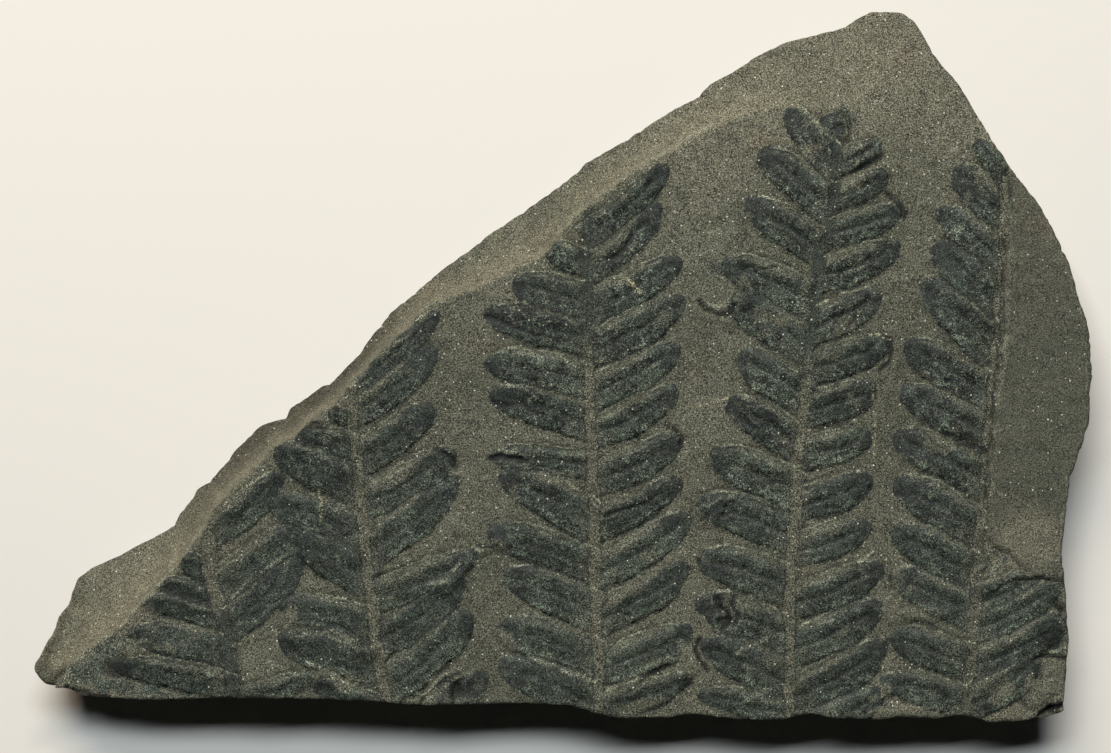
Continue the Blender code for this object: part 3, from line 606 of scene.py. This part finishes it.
net = bmesh.new()
on_face = net.verts.layers.int.new("on_face")  # numbers the face's points from 1; the sides have 0
cells_x = round((PLAN_RIGHT - PLAN_LEFT) * UNIT / CELL)
cells_y = round((PLAN_BOTTOM - PLAN_TOP) * UNIT / CELL)
bmesh.ops.create_grid(net, x_segments=cells_x, y_segments=cells_y, size=0.5)
for vert in net.verts:
    vert.co = (vert.co.x * cells_x * CELL, vert.co.y * cells_y * CELL, 0.0)
net.faces.ensure_lookup_table()
middles = to_plan(np.array([face.calc_center_median()[:2] for face in net.faces]))
inner = inside(middles, OUTLINE)
close = np.nonzero(inner & (line_distance(middles, OUTLINE + OUTLINE[:1]) < 8.0))[0]
inner[close] = inside(middles[close], RIM)
close = close[inner[close]]
inner[close] = line_distance(middles[close], RIM + RIM[:1]) > 1.2 * CELL / UNIT
doomed = [face for face, keep in zip(net.faces, inner) if not keep]
bmesh.ops.delete(net, geom=doomed, context="FACES")

rim_edges = [e for e in net.edges if e.is_boundary]
grown = bmesh.ops.extrude_edge_only(net, edges=rim_edges)["geom"]
rim_verts = [g for g in grown if isinstance(g, bmesh.types.BMVert)]
for vert in rim_verts:
    spot = to_plan(np.array([vert.co[:2]]))[0]
    on_rim = nearest_on(spot, RIM)
    vert.co = ((on_rim[0] - PLAN_MIDDLE[0]) * UNIT, (PLAN_MIDDLE[1] - on_rim[1]) * UNIT, 0.0)
rim_edges = [g for g in grown if isinstance(g, bmesh.types.BMEdge) and g.is_boundary]
evened = {}  # parts those that have landed on one spot
for vert in rim_verts:
    beside = [e.other_vert(vert) for e in vert.link_edges if e.is_boundary]
    if len(beside) == 2:
        evened[vert] = vert.co * 0.6 + (beside[0].co + beside[1].co) * 0.2
for vert, spot in evened.items():
    vert.co = spot

top_verts = list(net.verts)
for number, vert in enumerate(top_verts):
    vert[on_face] = number + 1
top_plan = to_plan(np.array([vert.co[:2] for vert in top_verts]))
is_rim = np.zeros(len(top_verts), bool)
is_rim[[vert[on_face] - 1 for vert in rim_verts]] = True

# Points beside a leaflet's edge move onto it, so that its line runs clean through the net.
SNAP = 0.52  # how far a point may move, as a share of the net's mesh width
for _ in range(2):
    bent_plan = top_plan + warp(top_plan)
    edge_here = leaf_edges(bent_plan)
    nudge = 0.4
    slope_x = (leaf_edges(bent_plan + (nudge, 0.0)) - edge_here) / nudge
    slope_y = (leaf_edges(bent_plan + (0.0, nudge)) - edge_here) / nudge
    steep = slope_x ** 2 + slope_y ** 2
    off = (1.0 - edge_here) / np.maximum(steep, 1e-4)
    move = np.stack([off * slope_x, off * slope_y], axis=1)
    reach = np.linalg.norm(move, axis=1)
    snaps = (reach < SNAP * CELL / UNIT) & (steep > 1e-3) & (steep < 0.03) & ~is_rim
    top_plan[snaps] += move[snaps]
face = face_shape(top_plan)
for vert, (px, py), z in zip(top_verts, top_plan, face["height"]):
    vert.co = ((px - PLAN_MIDDLE[0]) * UNIT, (PLAN_MIDDLE[1] - py) * UNIT, z)

# --------------------------------------------------------------------------------------------------
# The slab's broken sides and its underside. Shale breaks across its bedding in small ledges, a few
# tenths of a millimetre to two millimetres thick, and parts along it in a flat plane, on which it rests.

# Each ledge's height as a share of the rim's, how far it draws in as a share of the plan, and how much
# that varies round the plate.
SIDE_LEDGES = [
    (0.93, 0.000, 0.004), (0.86, 0.003, 0.005), (0.78, 0.004, 0.006), (0.70, 0.010, 0.006),
    (0.58, 0.008, 0.008), (0.46, 0.010, 0.008), (0.38, 0.020, 0.006), (0.28, 0.026, 0.006),
    (0.14, 0.030, 0.006), (0.03, 0.036, 0.004), (0.0, 0.040, 0.002),
]
rim_edges = [e for e in net.edges if e.is_boundary]
share_above = 1.0
for number, (height_share, inset, variation) in enumerate(SIDE_LEDGES):
    grown = bmesh.ops.extrude_edge_only(net, edges=rim_edges)["geom"]
    for vert in (g for g in grown if isinstance(g, bmesh.types.BMVert)):
        vert[on_face] = 0
        turn = Vector((vert.co.x, vert.co.y, 0.0)) * 90.0
        bay = variation * (0.5 + 0.5 * noise.fractal(turn + Vector((0, 0, number * 0.9)), 0.8, 2.0, 4))
        before = 1.0 if number == 0 else 1.0 - SIDE_LEDGES[number - 1][1]
        scale = (1.0 - inset) / before * (1.0 - abs(bay))
        vert.co = (vert.co.x * scale, vert.co.y * scale, vert.co.z * height_share / share_above)
    rim_edges = [g for g in grown if isinstance(g, bmesh.types.BMEdge) and g.is_boundary]
    share_above = height_share or 1.0
bmesh.ops.edgeloop_fill(net, edges=[e for e in net.edges if e.is_boundary])
bmesh.ops.recalc_face_normals(net, faces=net.faces)

mesh = bpy.data.meshes.new("fern_plate_stone")
net.verts.index_update()
net.to_mesh(mesh)
net.free()
plate = bpy.data.objects.new("fern_plate_stone", mesh)
bpy.context.scene.collection.objects.link(plate)
mesh.shade_smooth()

total = len(mesh.vertices)
number_of = np.zeros(total, np.int32)
mesh.attributes["on_face"].data.foreach_get("value", number_of)
is_top = number_of > 0


def store(name, values, fill=0.0):
    """Keeps one number for each vertex, for the finish to read."""
    column = np.full(total, fill, np.float32)
    column[is_top] = values[number_of[is_top] - 1]
    mesh.attributes.new(name, "FLOAT", "POINT").data.foreach_set("value", column)


for name in ("film", "stalk"):
    store(name, face[name], FAR)
for name in ("dark", "bare", "along", "reach", "sideways", "cover", "chip_shade", "streak", "crack_and_shadow", "lip_highlight",
             "smear", "worn_stalk"):
    store(name, face[name])

# How pale the stone is: more towards the top and on the low part of the flake; on the band partly paler
# broken stone and partly painted light on its slope towards the lamps, with a painted highlight along the
# ridge. The band's outer part is painted darker and browner in the middle of its run, as painted shade,
# and the band and the flake are evener in grain.
LOW_FLAKE = (1028, 540, 46, 44, 0)  # middle (x, y), half sizes, turn in degrees
face_x, face_y = top_plan[:, 0], top_plan[:, 1]
run, on_band = face["run"], face["run"] > 0
dim = share(face_x, 170.0, 250.0) * share(face_x, 430.0, 350.0)
ridge_highlight = (1.0 - share(line_distance(top_plan, RIDGE), 6.0, 28.0)) * share(face_x, 830.0, 760.0)
band_pale_and_lit = np.interp(face_x, (190.0, 260.0, 560.0, 720.0), (0.36, 0.20, 0.12, 0.28))
band_pale_and_lit *= 1.0 + 0.6 * rough(top_plan, 26.0, 3, 61.0)
band_pale_and_lit += 0.40 * ridge_highlight - 0.30 * dim * share(run, 0.15, 0.70)
low_flake = 1.0 - share(patch_field(top_plan, LOW_FLAKE), 0.5, 1.0)
pale_and_lit = np.maximum(0.40 * share(face_y, 260.0, 60.0), on_band * np.clip(band_pale_and_lit, 0.0, 1.0))
uneven = np.clip(0.75 + 0.5 * rough(top_plan, 30.0, 3, 71.0), 0.3, 1.0)
store("shade", on_band * dim * share(run, 0.12, 0.60) * uneven)
store("pale_and_lit", np.maximum(pale_and_lit, 0.5 * low_flake * face["flake"]))
store("even", np.maximum(0.8 * face["flake"], on_band * (0.8 - 0.6 * share(face_x, 260.0, 420.0))))
store("flake", face["flake"] * (1.0 - 0.8 * low_flake))

# How far each point lies in a crease or on a crest, which the finish paints as shade in the creases and a
# highlight on the crests.
ends = np.array([tuple(edge.vertices) for edge in mesh.edges])
HOLLOW_DEPTH = 0.0001
raw = np.empty(total * 3, np.float32)
mesh.vertices.foreach_get("co", raw)
raw = raw.reshape(-1, 3)[:, 2].astype(float)
blurred = raw.copy()
for _ in range(5):  # the height, averaged over each point's neighbours again and again
    summed = np.bincount(ends[:, 0], blurred[ends[:, 1]], total)
    summed += np.bincount(ends[:, 1], blurred[ends[:, 0]], total)
    blurred = summed / np.bincount(ends.ravel(), minlength=total)
hollow = (blurred - raw) / HOLLOW_DEPTH  # above 0 in creases, below 0 on crests
face_hollow = np.zeros(len(top_plan))
face_hollow[number_of[is_top] - 1] = hollow[is_top]
store("hollow", np.clip(face_hollow * (1.0 - 0.85 * on_band), -1.5, 1.5))

# --------------------------------------------------------------------------------------------------
# The finish: fine grey-green shale with brown stains and bright flecks of mica, and over the leaflets
# a film of dark carbon, worn through to the stone along their upper margins. Sizes are in metres.


def add_node(tree, kind, inputs=None, **settings):
    """A node of a kind, with its settings, its inputs given as numbers, colours or sockets to link."""
    node = tree.nodes.new("ShaderNode" + kind)
    for name, value in settings.items():
        setattr(node, name, value)
    for key, value in (inputs or {}).items():
        if isinstance(value, bpy.types.NodeSocket):
            tree.links.new(value, node.inputs[key])
        else:
            node.inputs[key].default_value = value
    return node


def calc(tree, operation, a, b=0.0):
    return add_node(tree, "Math", {0: a, 1: b}, operation=operation).outputs[0]


def plus(tree, a, b):
    return calc(tree, "ADD", a, b)


def minus(tree, a, b):
    return calc(tree, "SUBTRACT", a, b)


def times(tree, a, b):
    return calc(tree, "MULTIPLY", a, b)


def scaled(tree, colour, factor):
    return add_node(tree, "VectorMath", {0: colour, "Scale": factor}, operation="SCALE").outputs[0]


def ease(tree, value, low, high, to_low=0.0, to_high=1.0):
    """value, eased from low to high into to_low to to_high; low may be the larger."""
    if low > high:
        low, high, to_low, to_high = high, low, to_high, to_low
    ranged = add_node(tree, "MapRange", {
        "Value": value, "From Min": low, "From Max": high, "To Min": to_low, "To Max": to_high,
    }, interpolation_type="SMOOTHSTEP")
    return ranged.outputs["Result"]


def blend(tree, factor, first, second):
    return add_node(tree, "Mix", {0: factor, 6: first, 7: second}, data_type="RGBA").outputs[2]


def stone_noise(tree, place, size, detail=4.0, roughness=0.6, shift=0.0):
    """Random values round 0.5; size is their width in metres."""
    moved = add_node(tree, "VectorMath", {0: place, 1: (shift, shift * 0.7, shift * 0.3)}).outputs[0]
    texture = add_node(tree, "TexNoise", {
        "Vector": moved, "Scale": 1.0 / size, "Detail": detail, "Roughness": roughness,
    })
    return texture.outputs["Fac"]


def field(tree, name):
    """One of the numbers that the mesh keeps for each vertex."""
    return add_node(tree, "Attribute", attribute_name=name).outputs["Fac"]


def paint(red, green, blue):
    """A colour from its red, green and blue in the usual 0 to 255, made linear."""
    return tuple(((c / 255.0 + 0.055) / 1.055) ** 2.4 for c in (red, green, blue)) + (1.0,)


def new_group(name, sockets_in, sockets_out):
    group = bpy.data.node_groups.new(name, "ShaderNodeTree")
    for sockets, way in ((sockets_in, "INPUT"), (sockets_out, "OUTPUT")):
        for label, kind in sockets:
            group.interface.new_socket(name=label, in_out=way, socket_type="NodeSocket" + kind)
    return group, group.nodes.new("NodeGroupInput").outputs, group.nodes.new("NodeGroupOutput").inputs


def use_group(tree, group, inputs):
    return add_node(tree, "Group", inputs, node_tree=group).outputs


# Silt grain: how light each grain is, and how far it stands out.
GRAIN, grain_in, grain_out = new_group(
    "silt_grain", [("Place", "Vector"), ("Contrast", "Float")], [("Tone", "Float"), ("Height", "Float")])
fine = stone_noise(GRAIN, grain_in["Place"], 0.00020, 2.0, 0.7)
coarse = stone_noise(GRAIN, grain_in["Place"], 0.0015, 3.0, 0.5, 0.31)
specks = stone_noise(GRAIN, grain_in["Place"], 0.00012, 1.0, 0.5, 0.57)
mixed = plus(GRAIN, times(GRAIN, fine, 0.5), times(GRAIN, specks, 0.5))
lean = plus(GRAIN, times(GRAIN, minus(GRAIN, mixed, 0.5), 13.0),
            times(GRAIN, minus(GRAIN, coarse, 0.5), 1.2))
tone = plus(GRAIN, times(GRAIN, lean, grain_in["Contrast"]), 1.0)
GRAIN.links.new(calc(GRAIN, "MAXIMUM", tone, 0.15), grain_out["Tone"])
GRAIN.links.new(plus(GRAIN, mixed, times(GRAIN, coarse, 0.6)), grain_out["Height"])

# Mica: small bright flakes, some of the cells of a random pattern.
MICA_CELL = 0.00062
MICA, mica_in, mica_out = new_group(
    "mica_flecks", [("Place", "Vector"), ("Amount", "Float")], [("Mask", "Float")])
flakes = add_node(MICA, "TexVoronoi", {"Vector": mica_in["Place"], "Scale": 1.0 / MICA_CELL})
parts = add_node(MICA, "SeparateColor", {"Color": flakes.outputs["Color"]}).outputs
size = plus(MICA, times(MICA, parts["Green"], 0.11), 0.075)
near_middle = calc(MICA, "LESS_THAN", flakes.outputs["Distance"], size)
chosen = calc(MICA, "LESS_THAN", parts["Red"], mica_in["Amount"])
shine = plus(MICA, times(MICA, parts["Blue"], 0.75), 0.35)
MICA.links.new(times(MICA, times(MICA, near_middle, chosen), shine), mica_out["Mask"])


def new_material(name):
    material = bpy.data.materials.new(name)
    material.use_nodes = True
    shader = material.node_tree.nodes["Principled BSDF"]
    shader.inputs["Specular IOR Level"].default_value = 0.35
    return material, material.node_tree, shader


def fern_face_material():
    material, tree, shader = new_material("fern_face")
    place = add_node(tree, "TexCoord").outputs["Object"]

    # The bare stone: paler towards the top, with painted light on the band and a painted highlight along
    # the ridge, painted shade on the band's outer part, and browner in soft stains.
    slow = stone_noise(tree, place, 0.016, 3.0, 0.55, 1.7)
    stone = blend(tree, ease(tree, slow, 0.35, 0.65), paint(*STONE_DARK), paint(*STONE_PALE))
    stone = blend(tree, field(tree, "pale_and_lit"), stone, paint(*STONE_TOP))
    stone = blend(tree, times(tree, field(tree, "flake"), 0.75), stone, paint(*FLAKE_STONE))
    stone = blend(tree, times(tree, field(tree, "shade"), 0.8), stone, paint(*BAND_SHADE))
    stain = ease(tree, stone_noise(tree, place, 0.007, 3.0, 0.6, 4.1), 0.56, 0.74, 0.0, 0.25)
    stone = blend(tree, stain, stone, paint(*STAIN))

    # Where the carbon film is: on the leaflets, less their upper margins, their feet and some spots.
    # "film" and "stalk" grow outwards to 1 on the edge; "sideways" grows from the upper side, at -1, to
    # the lower one, and "reach" from the foot to the tip.
    edge_noise = minus(tree, stone_noise(tree, place, 0.0012, 1.0, 0.5, 2.3), 0.5)
    side, reach, near_edge = field(tree, "sideways"), field(tree, "reach"), field(tree, "film")
    leaflet = ease(tree, plus(tree, near_edge, times(tree, edge_noise, 0.14)), 1.04, 0.99)
    wear_noise = stone_noise(tree, place, 0.0022, 3.0, 0.55, 5.9)
    wear_shift = times(tree, minus(tree, wear_noise, 0.5), 0.6)
    bare_share = times(tree, field(tree, "bare"), ease(tree, reach, 0.45, 1.0, 1.0, 0.35))
    bare_to = minus(tree, times(tree, bare_share, 0.95), 1.0)
    below_bare = minus(tree, plus(tree, side, wear_shift), bare_to)
    margin = ease(tree, below_bare, 0.05, -0.05, 0.0, 0.56)
    from_foot = plus(tree, reach, times(tree, wear_shift, 0.5))
    worn_foot = ease(tree, from_foot, 0.26, 0.02, 0.0, 0.30)
    spots = ease(tree, stone_noise(tree, place, 0.0045, 5.0, 0.75, 8.8), 0.57, 0.66, 0.0, 0.7)
    worn = calc(tree, "MAXIMUM", calc(tree, "MAXIMUM", margin, worn_foot), spots)
    worn = calc(tree, "MAXIMUM", worn, field(tree, "cover"))
    film_mask = times(tree, leaflet, minus(tree, 1.0, worn))
    smeared = times(tree, field(tree, "smear"), ease(tree, wear_noise, 0.64, 0.50))
    film_mask = calc(tree, "MAXIMUM", film_mask, smeared)

    # The film's colour: bluish in clouds, and crumbs in rows along the leaflet, mostly by the midrib of
    # the upper leaflets, black where it is whole and pale where it is thin.
    film = blend(tree, field(tree, "dark"), paint(*FILM_PALE), paint(*FILM_DARK))
    cloud = ease(tree, stone_noise(tree, place, 0.0024, 4.0, 0.7, 3.3), 0.42, 0.62, 0.0, 0.30)
    film = blend(tree, cloud, film, paint(*FILM_BLUE))
    rows = add_node(tree, "CombineXYZ", {
        "X": times(tree, field(tree, "along"), 0.00006), "Y": times(tree, side, 0.0019),
        "Z": times(tree, field(tree, "dark"), 0.37),
    }).outputs[0]
    crumbs = plus(tree, times(tree, stone_noise(tree, rows, 0.0009, 4.0, 0.75, 7.7), 0.6),
                  times(tree, stone_noise(tree, place, 0.00075, 3.0, 0.7, 7.7), 0.4))
    by_midrib = times(tree, ease(tree, side, -0.45, -0.10), ease(tree, reach, 0.90, 0.70))
    crumbly = plus(tree, stone_noise(tree, place, 0.0032, 3.0, 0.6, 9.4), times(tree, by_midrib, 0.08))
    crumbly = ease(tree, crumbly, 0.46, 0.58)
    up_plate = add_node(tree, "SeparateXYZ", {"Vector": place}).outputs["Y"]
    crumbly = times(tree, crumbly, ease(tree, up_plate, -0.032, -0.004, 0.45, 1.0))
    film = blend(tree, ease(tree, crumbs, 0.53, 0.58, 0.0, 0.55), film, paint(*CRUMB))
    black = times(tree, ease(tree, crumbs, 0.495, 0.465, 0.0, 0.90), crumbly)
    film = blend(tree, black, film, paint(*BLACK_AND_SHADE))
    small_crumbs = stone_noise(tree, place, 0.00048, 2.0, 0.6, 11.3)
    light = times(tree, ease(tree, small_crumbs, 0.58, 0.62, 0.0, 0.30), crumbly)
    film = blend(tree, light, film, paint(*PALE_CRUMB_AND_HIGHLIGHT))
    pits = times(tree, ease(tree, small_crumbs, 0.43, 0.40, 0.0, 0.7),
                 plus(tree, times(tree, crumbly, 0.6), 0.4))
    film = blend(tree, pits, film, paint(*CRACK_AND_SHADOW))

    # It is darkest at the tip and on the lower flank, and a little paler on the lower margin.
    tip = ease(tree, reach, 0.55, 0.88, 0.0, 0.85)
    flank = times(tree, ease(tree, side, -0.2, 0.2, 0.0, 0.30), ease(tree, side, 0.75, 0.35))
    deep = times(tree, calc(tree, "MAXIMUM", tip, flank), ease(tree, wear_noise, 0.36, 0.56))
    film = blend(tree, deep, film, paint(*FILM_DEEP))
    mottle = ease(tree, stone_noise(tree, place, 0.0034, 3.0, 0.6, 2.9), 0.40, 0.60, 0.82, 1.22)
    by_side = times(tree, ease(tree, side, -0.8, -0.2, 1.0, 0.96),
                    ease(tree, side, 0.45, 0.80, 1.0, 1.45))
    film = scaled(tree, scaled(tree, film, mottle), by_side)
    colour = blend(tree, film_mask, stone, film)

    # The stalks: a thinner film over a flat ribbon, with a dark line at each edge.
    stalk_edge = plus(tree, field(tree, "stalk"), times(tree, edge_noise, 0.8))
    stalk_worn = plus(tree, field(tree, "worn_stalk"), times(tree, wear_shift, 0.9))
    ribbon = blend(tree, ease(tree, stalk_worn, 0.2, 0.8), paint(*STALK_DARK), paint(*STALK_PALE))
    colour = blend(tree, ease(tree, stalk_edge, 1.12, 0.80, 0.0, 0.85), colour, ribbon)
    stalk_line = times(tree, ease(tree, stalk_edge, 0.85, 1.05),
                       ease(tree, stalk_edge, 1.45, 1.15, 0.0, 0.36))
    colour = blend(tree, stalk_line, colour, paint(*BLACK_AND_SHADE))

    # A fine bare rim along the upper margin, painted pale as a highlight, and a painted shadow under the
    # lower one.
    on_rim = times(tree, ease(tree, near_edge, 0.90, 0.97), ease(tree, near_edge, 1.07, 1.02))
    bare_rim_highlight = times(tree, times(tree, on_rim, ease(tree, side, -0.35, -0.75)),
                      ease(tree, wear_noise, 0.42, 0.54, 0.15, 0.85))
    colour = blend(tree, bare_rim_highlight, colour, paint(*BARE_LIP_HIGHLIGHT))
    under = times(tree, ease(tree, near_edge, 0.78, 0.97), ease(tree, near_edge, 1.05, 1.0))
    lower_edge_shadow = times(tree, times(tree, under, ease(tree, side, 0.2, 0.6)),
                      ease(tree, wear_noise, 0.50, 0.60, 0.0, 0.5))
    colour = blend(tree, lower_edge_shadow, colour, paint(*BLACK_AND_SHADE))

    # Painted shade in the chips, painted highlights on the lips, cracks with painted shadow under
    # undercut edges, and calcite streaks.
    colour = blend(tree, times(tree, field(tree, "chip_shade"), 0.8), colour, paint(*BLACK_AND_SHADE))
    # Painted highlight on the lips.
    lit = times(tree, field(tree, "lip_highlight"), ease(tree, wear_noise, 0.38, 0.56, 0.1, 0.9))
    colour = blend(tree, lit, colour, paint(*BARE_LIP_HIGHLIGHT))
    # Dark cracks, with painted shadow under the undercut edges.
    colour = blend(tree, times(tree, field(tree, "crack_and_shadow"), 0.92), colour, paint(*CRACK_AND_SHADOW))
    broken = ease(tree, stone_noise(tree, place, 0.0007, 2.0, 0.6, 6.6), 0.42, 0.56, 0.1, 0.75)
    colour = blend(tree, times(tree, field(tree, "streak"), broken), colour, paint(*CALCITE))
    # Painted shade in the creases and a painted highlight on the crests.
    hollow = field(tree, "hollow")
    colour = blend(tree, ease(tree, hollow, 0.40, 1.2, 0.0, 0.50), colour, paint(*BLACK_AND_SHADE))
    crest_highlight = times(tree, ease(tree, hollow, -0.7, -1.4, 0.0, 0.35), ease(tree, wear_noise, 0.44, 0.60))
    colour = blend(tree, crest_highlight, colour, paint(*PALE_CRUMB_AND_HIGHLIGHT))

    # Grain and mica all over, coarser where the film crumbles and evener on the band and the flake.
    on_film = times(tree, film_mask, plus(tree, times(tree, crumbly, 0.9), 0.35))
    on_even = times(tree, field(tree, "even"), 0.35)
    contrast = minus(tree, plus(tree, 1.0, on_film), on_even)
    grain = use_group(tree, GRAIN, {"Place": place, "Contrast": contrast})
    amount = minus(tree, minus(tree, 0.6, on_even), times(tree, film_mask, 0.48))
    mica = use_group(tree, MICA, {"Place": place, "Amount": amount})
    colour = blend(tree, times(tree, mica["Mask"], 0.85), scaled(tree, colour, grain["Tone"]),
                   paint(*MICA_SHINE))
    tree.links.new(colour, shader.inputs["Base Color"])
    rough_value = minus(tree, 0.80, times(tree, film_mask, 0.16))
    rough_value = minus(tree, rough_value, times(tree, mica["Mask"], 0.45))
    tree.links.new(rough_value, shader.inputs["Roughness"])

    # Fine veins run out from the midrib across each leaflet.
    vein_run = plus(tree, times(tree, field(tree, "along"), VEINS_PER_UNIT),
                    times(tree, calc(tree, "ABSOLUTE", side), -1.6))
    veins = times(tree, calc(tree, "SINE", vein_run), leaflet)
    film_relief = plus(tree, times(tree, leaflet, 0.45), times(tree, crumbs, 0.9))
    relief = plus(tree, times(tree, veins, 0.08), plus(tree, grain["Height"], film_relief))
    bump = add_node(tree, "Bump", {"Height": relief, "Strength": 0.6, "Distance": 0.00018})
    tree.links.new(bump.outputs["Normal"], shader.inputs["Normal"])
    return material


def broken_side_material():
    material, tree, shader = new_material("broken_side")
    place = add_node(tree, "TexCoord").outputs["Object"]
    grain = use_group(tree, GRAIN, {"Place": place, "Contrast": 0.9})
    mica = use_group(tree, MICA, {"Place": place, "Amount": 0.10})
    flat = add_node(tree, "VectorMath", {0: place, 1: (0.12, 0.12, 1.0)}, operation="MULTIPLY")
    layers = stone_noise(tree, flat.outputs[0], 0.0009, 4.0, 0.6)
    colour = blend(tree, ease(tree, layers, 0.38, 0.64), paint(*SIDE_DARK), paint(*SIDE_PALE))
    stain = ease(tree, stone_noise(tree, place, 0.006, 3.0, 0.6, 6.2), 0.54, 0.72, 0.0, 0.4)
    colour = blend(tree, stain, colour, paint(*STAIN))
    colour = blend(tree, times(tree, mica["Mask"], 0.7), scaled(tree, colour, grain["Tone"]),
                   paint(*MICA_SHINE))
    tree.links.new(colour, shader.inputs["Base Color"])
    tree.links.new(minus(tree, 0.82, times(tree, mica["Mask"], 0.45)), shader.inputs["Roughness"])
    relief = plus(tree, times(tree, layers, 1.5), grain["Height"])
    bump = add_node(tree, "Bump", {"Height": relief, "Strength": 0.7, "Distance": 0.0003})
    tree.links.new(bump.outputs["Normal"], shader.inputs["Normal"])
    return material


STONE_DARK, STONE_PALE, STONE_TOP = (81, 82, 68), (97, 96, 81), (124, 119, 99)
FLAKE_STONE, BAND_SHADE, STAIN = (78, 79, 66), (66, 61, 48), (112, 98, 80)
FILM_DARK, FILM_PALE, FILM_BLUE, FILM_DEEP = (36, 42, 36), (79, 85, 72), (57, 67, 61), (30, 35, 31)
STALK_DARK, STALK_PALE = (46, 52, 44), (88, 87, 72)
# The darkest colour serves the black film and the painted shade in creases, chips and under lower
# margins; the crest colour serves pale crumbs and the painted highlight on crests; the lip colour is bare
# stone painted as a highlight; the crack colour serves cracks, pits and painted shadow.
BLACK_AND_SHADE, PALE_CRUMB_AND_HIGHLIGHT, CRUMB = (26, 29, 24), (112, 112, 95), (85, 91, 77)
CRACK_AND_SHADOW, BARE_LIP_HIGHLIGHT = (14, 15, 12), (130, 132, 112)
MICA_SHINE, CALCITE = (235, 233, 214), (150, 146, 118)
SIDE_DARK, SIDE_PALE = (44, 47, 41), (78, 80, 68)
VEINS_PER_UNIT = 2.0 * math.pi / 2.6  # one vein each 0.34 mm
mesh.materials.append(fern_face_material())
mesh.materials.append(broken_side_material())
on_side = np.array([not all(is_top[v] for v in polygon.vertices) for polygon in mesh.polygons])
mesh.polygons.foreach_set("material_index", on_side.astype(np.int32))

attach(plate, "root")
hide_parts("fern_plate")

# --------------------------------------------------------------------------------------------------
# The pale floor, two strip lights above the plate's upper edge, the dim surroundings and the camera,
# which looks straight down on the face.

floor_mesh = bpy.data.meshes.new("floor")
floor_net = bmesh.new()
bmesh.ops.create_grid(floor_net, x_segments=1, y_segments=1, size=2.0)
floor_net.to_mesh(floor_mesh)
floor_net.free()
floor = bpy.data.objects.new("floor", floor_mesh)
bpy.context.scene.collection.objects.link(floor)
paper, _, paper_shader = new_material("pale_paper")
paper_shader.inputs["Base Color"].default_value = (0.86, 0.813, 0.735, 1.0)
paper_shader.inputs["Roughness"].default_value = 0.9
paper_shader.inputs["Specular IOR Level"].default_value = 0.5
floor_mesh.materials.append(paper)

LIGHT_DISTANCE = 0.9
for name, width, depth, energy, tint, elevation, x in (
    ("key", 0.55, 0.10, 4.7, (1.16, 1.01, 0.86), 49.0, -0.12),
    ("top", 0.50, 0.17, 5.25, (0.87, 0.98, 1.07), 66.0, -0.05),
):
    lamp = bpy.data.lights.new(name, "AREA")
    lamp.shape = "RECTANGLE"
    lamp.size, lamp.size_y = width, depth
    lamp.energy, lamp.color = energy, tint
    light = bpy.data.objects.new(name, lamp)
    angle = math.radians(elevation)
    light.location = (x, LIGHT_DISTANCE * math.cos(angle), LIGHT_DISTANCE * math.sin(angle))
    light.rotation_euler = (-light.location).to_track_quat("-Z", "Y").to_euler()
    bpy.context.scene.collection.objects.link(light)

world = bpy.data.worlds.new("studio")
world.use_nodes = True
surroundings = world.node_tree.nodes["Background"]
surroundings.inputs["Color"].default_value = (0.80, 0.92, 1.0, 1.0)
surroundings.inputs["Strength"].default_value = 0.005
bpy.context.scene.world = world
bpy.context.scene.view_settings.view_transform = "Standard"

IMAGE_WIDTH, IMAGE_HEIGHT = 1111.0, 753.0  # the camera's frame, in plan units
LENS, SENSOR = 100.0, 36.0
camera_data = bpy.data.cameras.new("camera")
camera_data.lens = LENS
camera_data.sensor_width = SENSOR
camera = bpy.data.objects.new("camera", camera_data)
camera.location = (
    (IMAGE_WIDTH / 2.0 - PLAN_MIDDLE[0]) * UNIT,
    (PLAN_MIDDLE[1] - IMAGE_HEIGHT / 2.0) * UNIT,
    BED_HEIGHT + IMAGE_WIDTH * UNIT * LENS / SENSOR,
)
bpy.context.scene.collection.objects.link(camera)
bpy.context.scene.camera = camera
